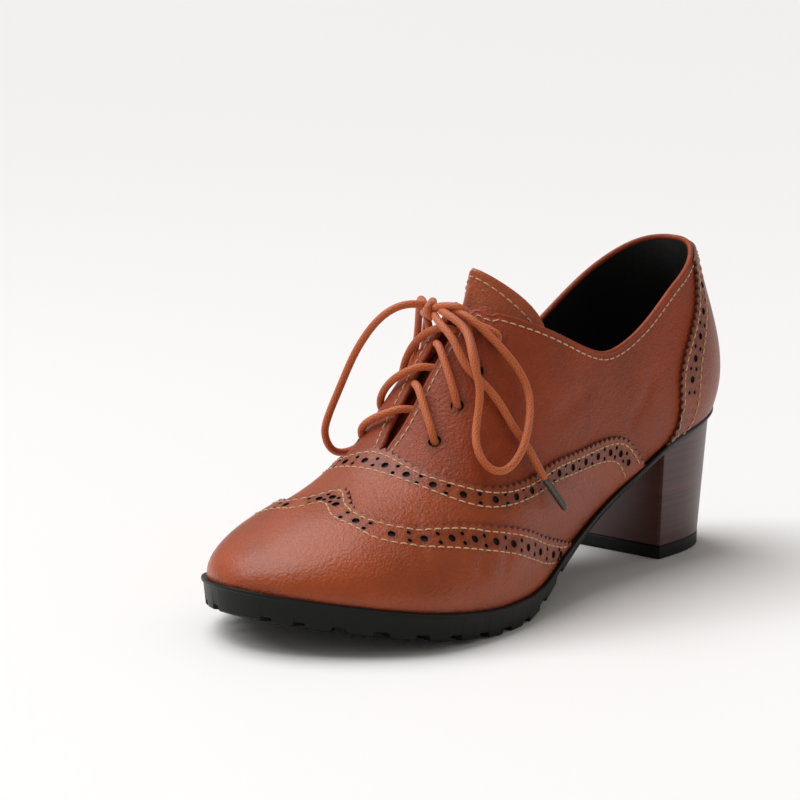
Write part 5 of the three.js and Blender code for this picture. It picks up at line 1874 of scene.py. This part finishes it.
class BROGUE_OT_sole(bpy.types.Operator):
    """Sole with its lip and lugs, the stacked heel, its top lift and the insole"""

    bl_idname = "brogue_pump.sole"
    bl_label = "Sole and heel"

    def execute(self, context):
        self.build_sole()
        self.build_heel()
        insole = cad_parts["insole"]
        insole.data.materials.clear()
        insole.data.materials.append(material("lining"))
        return {"FINISHED"}

    def build_sole(self):
        centres, foot, head = lug_marks()
        marks = np.concatenate([centres + d for d in (-foot, -head, head, foot)])
        reach = np.unique(np.concatenate([np.linspace(0, FULL_REACH, 190), marks]))
        rise = lug_rise(reach)
        draw = LIP_OVERHANG + SOLE_TAPER
        columns_of = (
            (0.002, "top", 0.0),
            (0.0002, "top", 0.0),
            (0.0, "top", -0.0003),
            (0.0, "lip", 0.0003),
            (0.0002, "lip", 0.0),
            (LIP_OVERHANG, "lip", 0.0),
            (LIP_OVERHANG + 0.0001, "lip", -0.0004),
            (draw - 0.0001, "bottom", 0.0004),
            (draw + 0.0003, "bottom", 0.0),
            (draw + LUG_REACH, "bottom", 0.0),
            (draw + LUG_REACH + 0.0002, "deep", 0.0),
        )
        sides = []
        for sign in (1, -1):
            column_rows = []
            for inset, level, offset in columns_of:
                x, station = sole_point(reach, sign, inset)
                z = sole_top(station) if level in ("top", "lip") else sole_bottom(station)
                if level == "lip":
                    z = z - LIP_HEIGHT
                if level == "bottom":
                    z = z + rise
                column_rows.append(placed(x, station, z + offset))
            sides.append(np.stack(column_rows, 1))
        rings = np.concatenate([sides[0], sides[1][:, ::-1]], 1)
        piece = lofted("sole_unit", rings, [material("sole_side")], cap=False, sharp=0.5)
        dress(piece, "sole_rubber", "outsole")

    def heel_ring(self, share, trim=0.0):
        """Outline of the heel block as x and station; trim draws it in."""
        count = 40
        half_foot = HEEL_FOOT_WIDTH / 2
        back_at = HEEL_FOOT_BACK + (LIP_OVERHANG + HEEL_INSET - HEEL_FOOT_BACK) * share
        breast = HEEL_FOOT_BREAST + (HEEL_BREAST - HEEL_FOOT_BREAST) * share - trim
        angles = np.linspace(0, math.pi / 2, count)
        x, station = [], []
        for sign in (1, -1):
            top_half = half_width(np.array([HEEL_AXIS]), sign, LIP_OVERHANG + HEEL_INSET)[0]
            half = half_foot + (top_half - half_foot) * share - trim
            radius = heel_radius(angles, half, HEEL_AXIS - back_at - trim)
            round_x, round_s = sign * radius * np.cos(angles), HEEL_AXIS - radius * np.sin(angles)
            near = np.array([0.0, 0.0004, 0.0012])
            corner_x = sign * (half - near[::-1] * np.array([1.0, 0.25, 0.0]))
            corner_s = breast - np.array([0.0, 0.0003, 0.0012])
            side_x, side_s = np.concatenate([corner_x, round_x]), np.concatenate([corner_s, round_s])
            x.append(side_x if sign > 0 else side_x[::-1][1:])
            station.append(side_s if sign > 0 else side_s[::-1][1:])
        return np.concatenate(x), np.concatenate(station)

    def build_heel(self):
        foot = LIFT_THICKNESS
        rings = []
        for v in np.linspace(0, 1, 26):
            share = v
            for _ in range(3):
                x, station = self.heel_ring(0.0)
                wide_x, wide_station = self.heel_ring(1.0)
                at_share = share if np.ndim(share) else np.full(len(x), share)
                x, station = x + (wide_x - x) * at_share, station + (wide_station - station) * at_share
                top = sole_bottom(station) - HEEL_GAP
                z = foot + HEEL_GAP + (top - foot) * v
                share = (z - foot) / (SEAT_HEIGHT - foot)
            rings.append(placed(x, station, z))
        last = rings[0].shape[0] - 1
        piece = lofted(
            "heel_block",
            rings,
            [material("heel_layers"), material("heel_breast")],
            sharp=0.7,
            slots=lambda i, j: 1 if j == last else 0,
        )
        dress(piece, "heel_stack", "heel")
        high = LIFT_THICKNESS
        levels = ((0.0, 0.0005), (0.0003, 0.0), (high - 0.0007, 0.0), (high - 0.0002, 0.0003))
        rings = []
        for z, trim in levels:
            x, station = self.heel_ring(0.0, trim)
            rings.append(placed(x, station, np.full(len(x), z)))
        dress(lofted("heel_lift", rings, [material("lift_side")], sharp=0.5), "lift_rubber", "top_lift")


OPERATORS = (
    BROGUE_OT_stage,
    BROGUE_OT_bow,
    BROGUE_OT_lacing,
    BROGUE_OT_sole,
    BROGUE_OT_quarters,
    BROGUE_OT_vamp,
    BROGUE_OT_toe_cap,
    BROGUE_OT_counter,
    BROGUE_OT_tongue,
)


class BROGUE_PT_panel(bpy.types.Panel):
    """Lists the shoe's pieces, sizes and colours"""

    bl_idname = "BROGUE_PT_panel"
    bl_label = "Brogue pump"
    bl_space_type = "VIEW_3D"
    bl_region_type = "UI"
    bl_category = "Brogue pump"

    def draw(self, context):
        for made in OPERATORS:
            self.layout.operator(made.bl_idname)
        for group in (context.scene.brogue_pump_sizes, context.scene.brogue_pump_colours):
            box = self.layout.box()
            for name in group.__annotations__:
                box.prop(group, name)


CLASSES = (BroguePumpSizes, BroguePumpColours, *OPERATORS, BROGUE_PT_panel)


def register():
    for made in CLASSES:
        bpy.utils.register_class(made)
    bpy.types.Scene.brogue_pump_sizes = bpy.props.PointerProperty(type=BroguePumpSizes)
    bpy.types.Scene.brogue_pump_colours = bpy.props.PointerProperty(type=BroguePumpColours)


def unregister():
    del bpy.types.Scene.brogue_pump_colours
    del bpy.types.Scene.brogue_pump_sizes
    for made in reversed(CLASSES):
        bpy.utils.unregister_class(made)


def main():
    register()
    for made in OPERATORS:
        group, name = made.bl_idname.split(".")
        getattr(getattr(bpy.ops, group), name)()


if __name__ == "__main__":
    main()
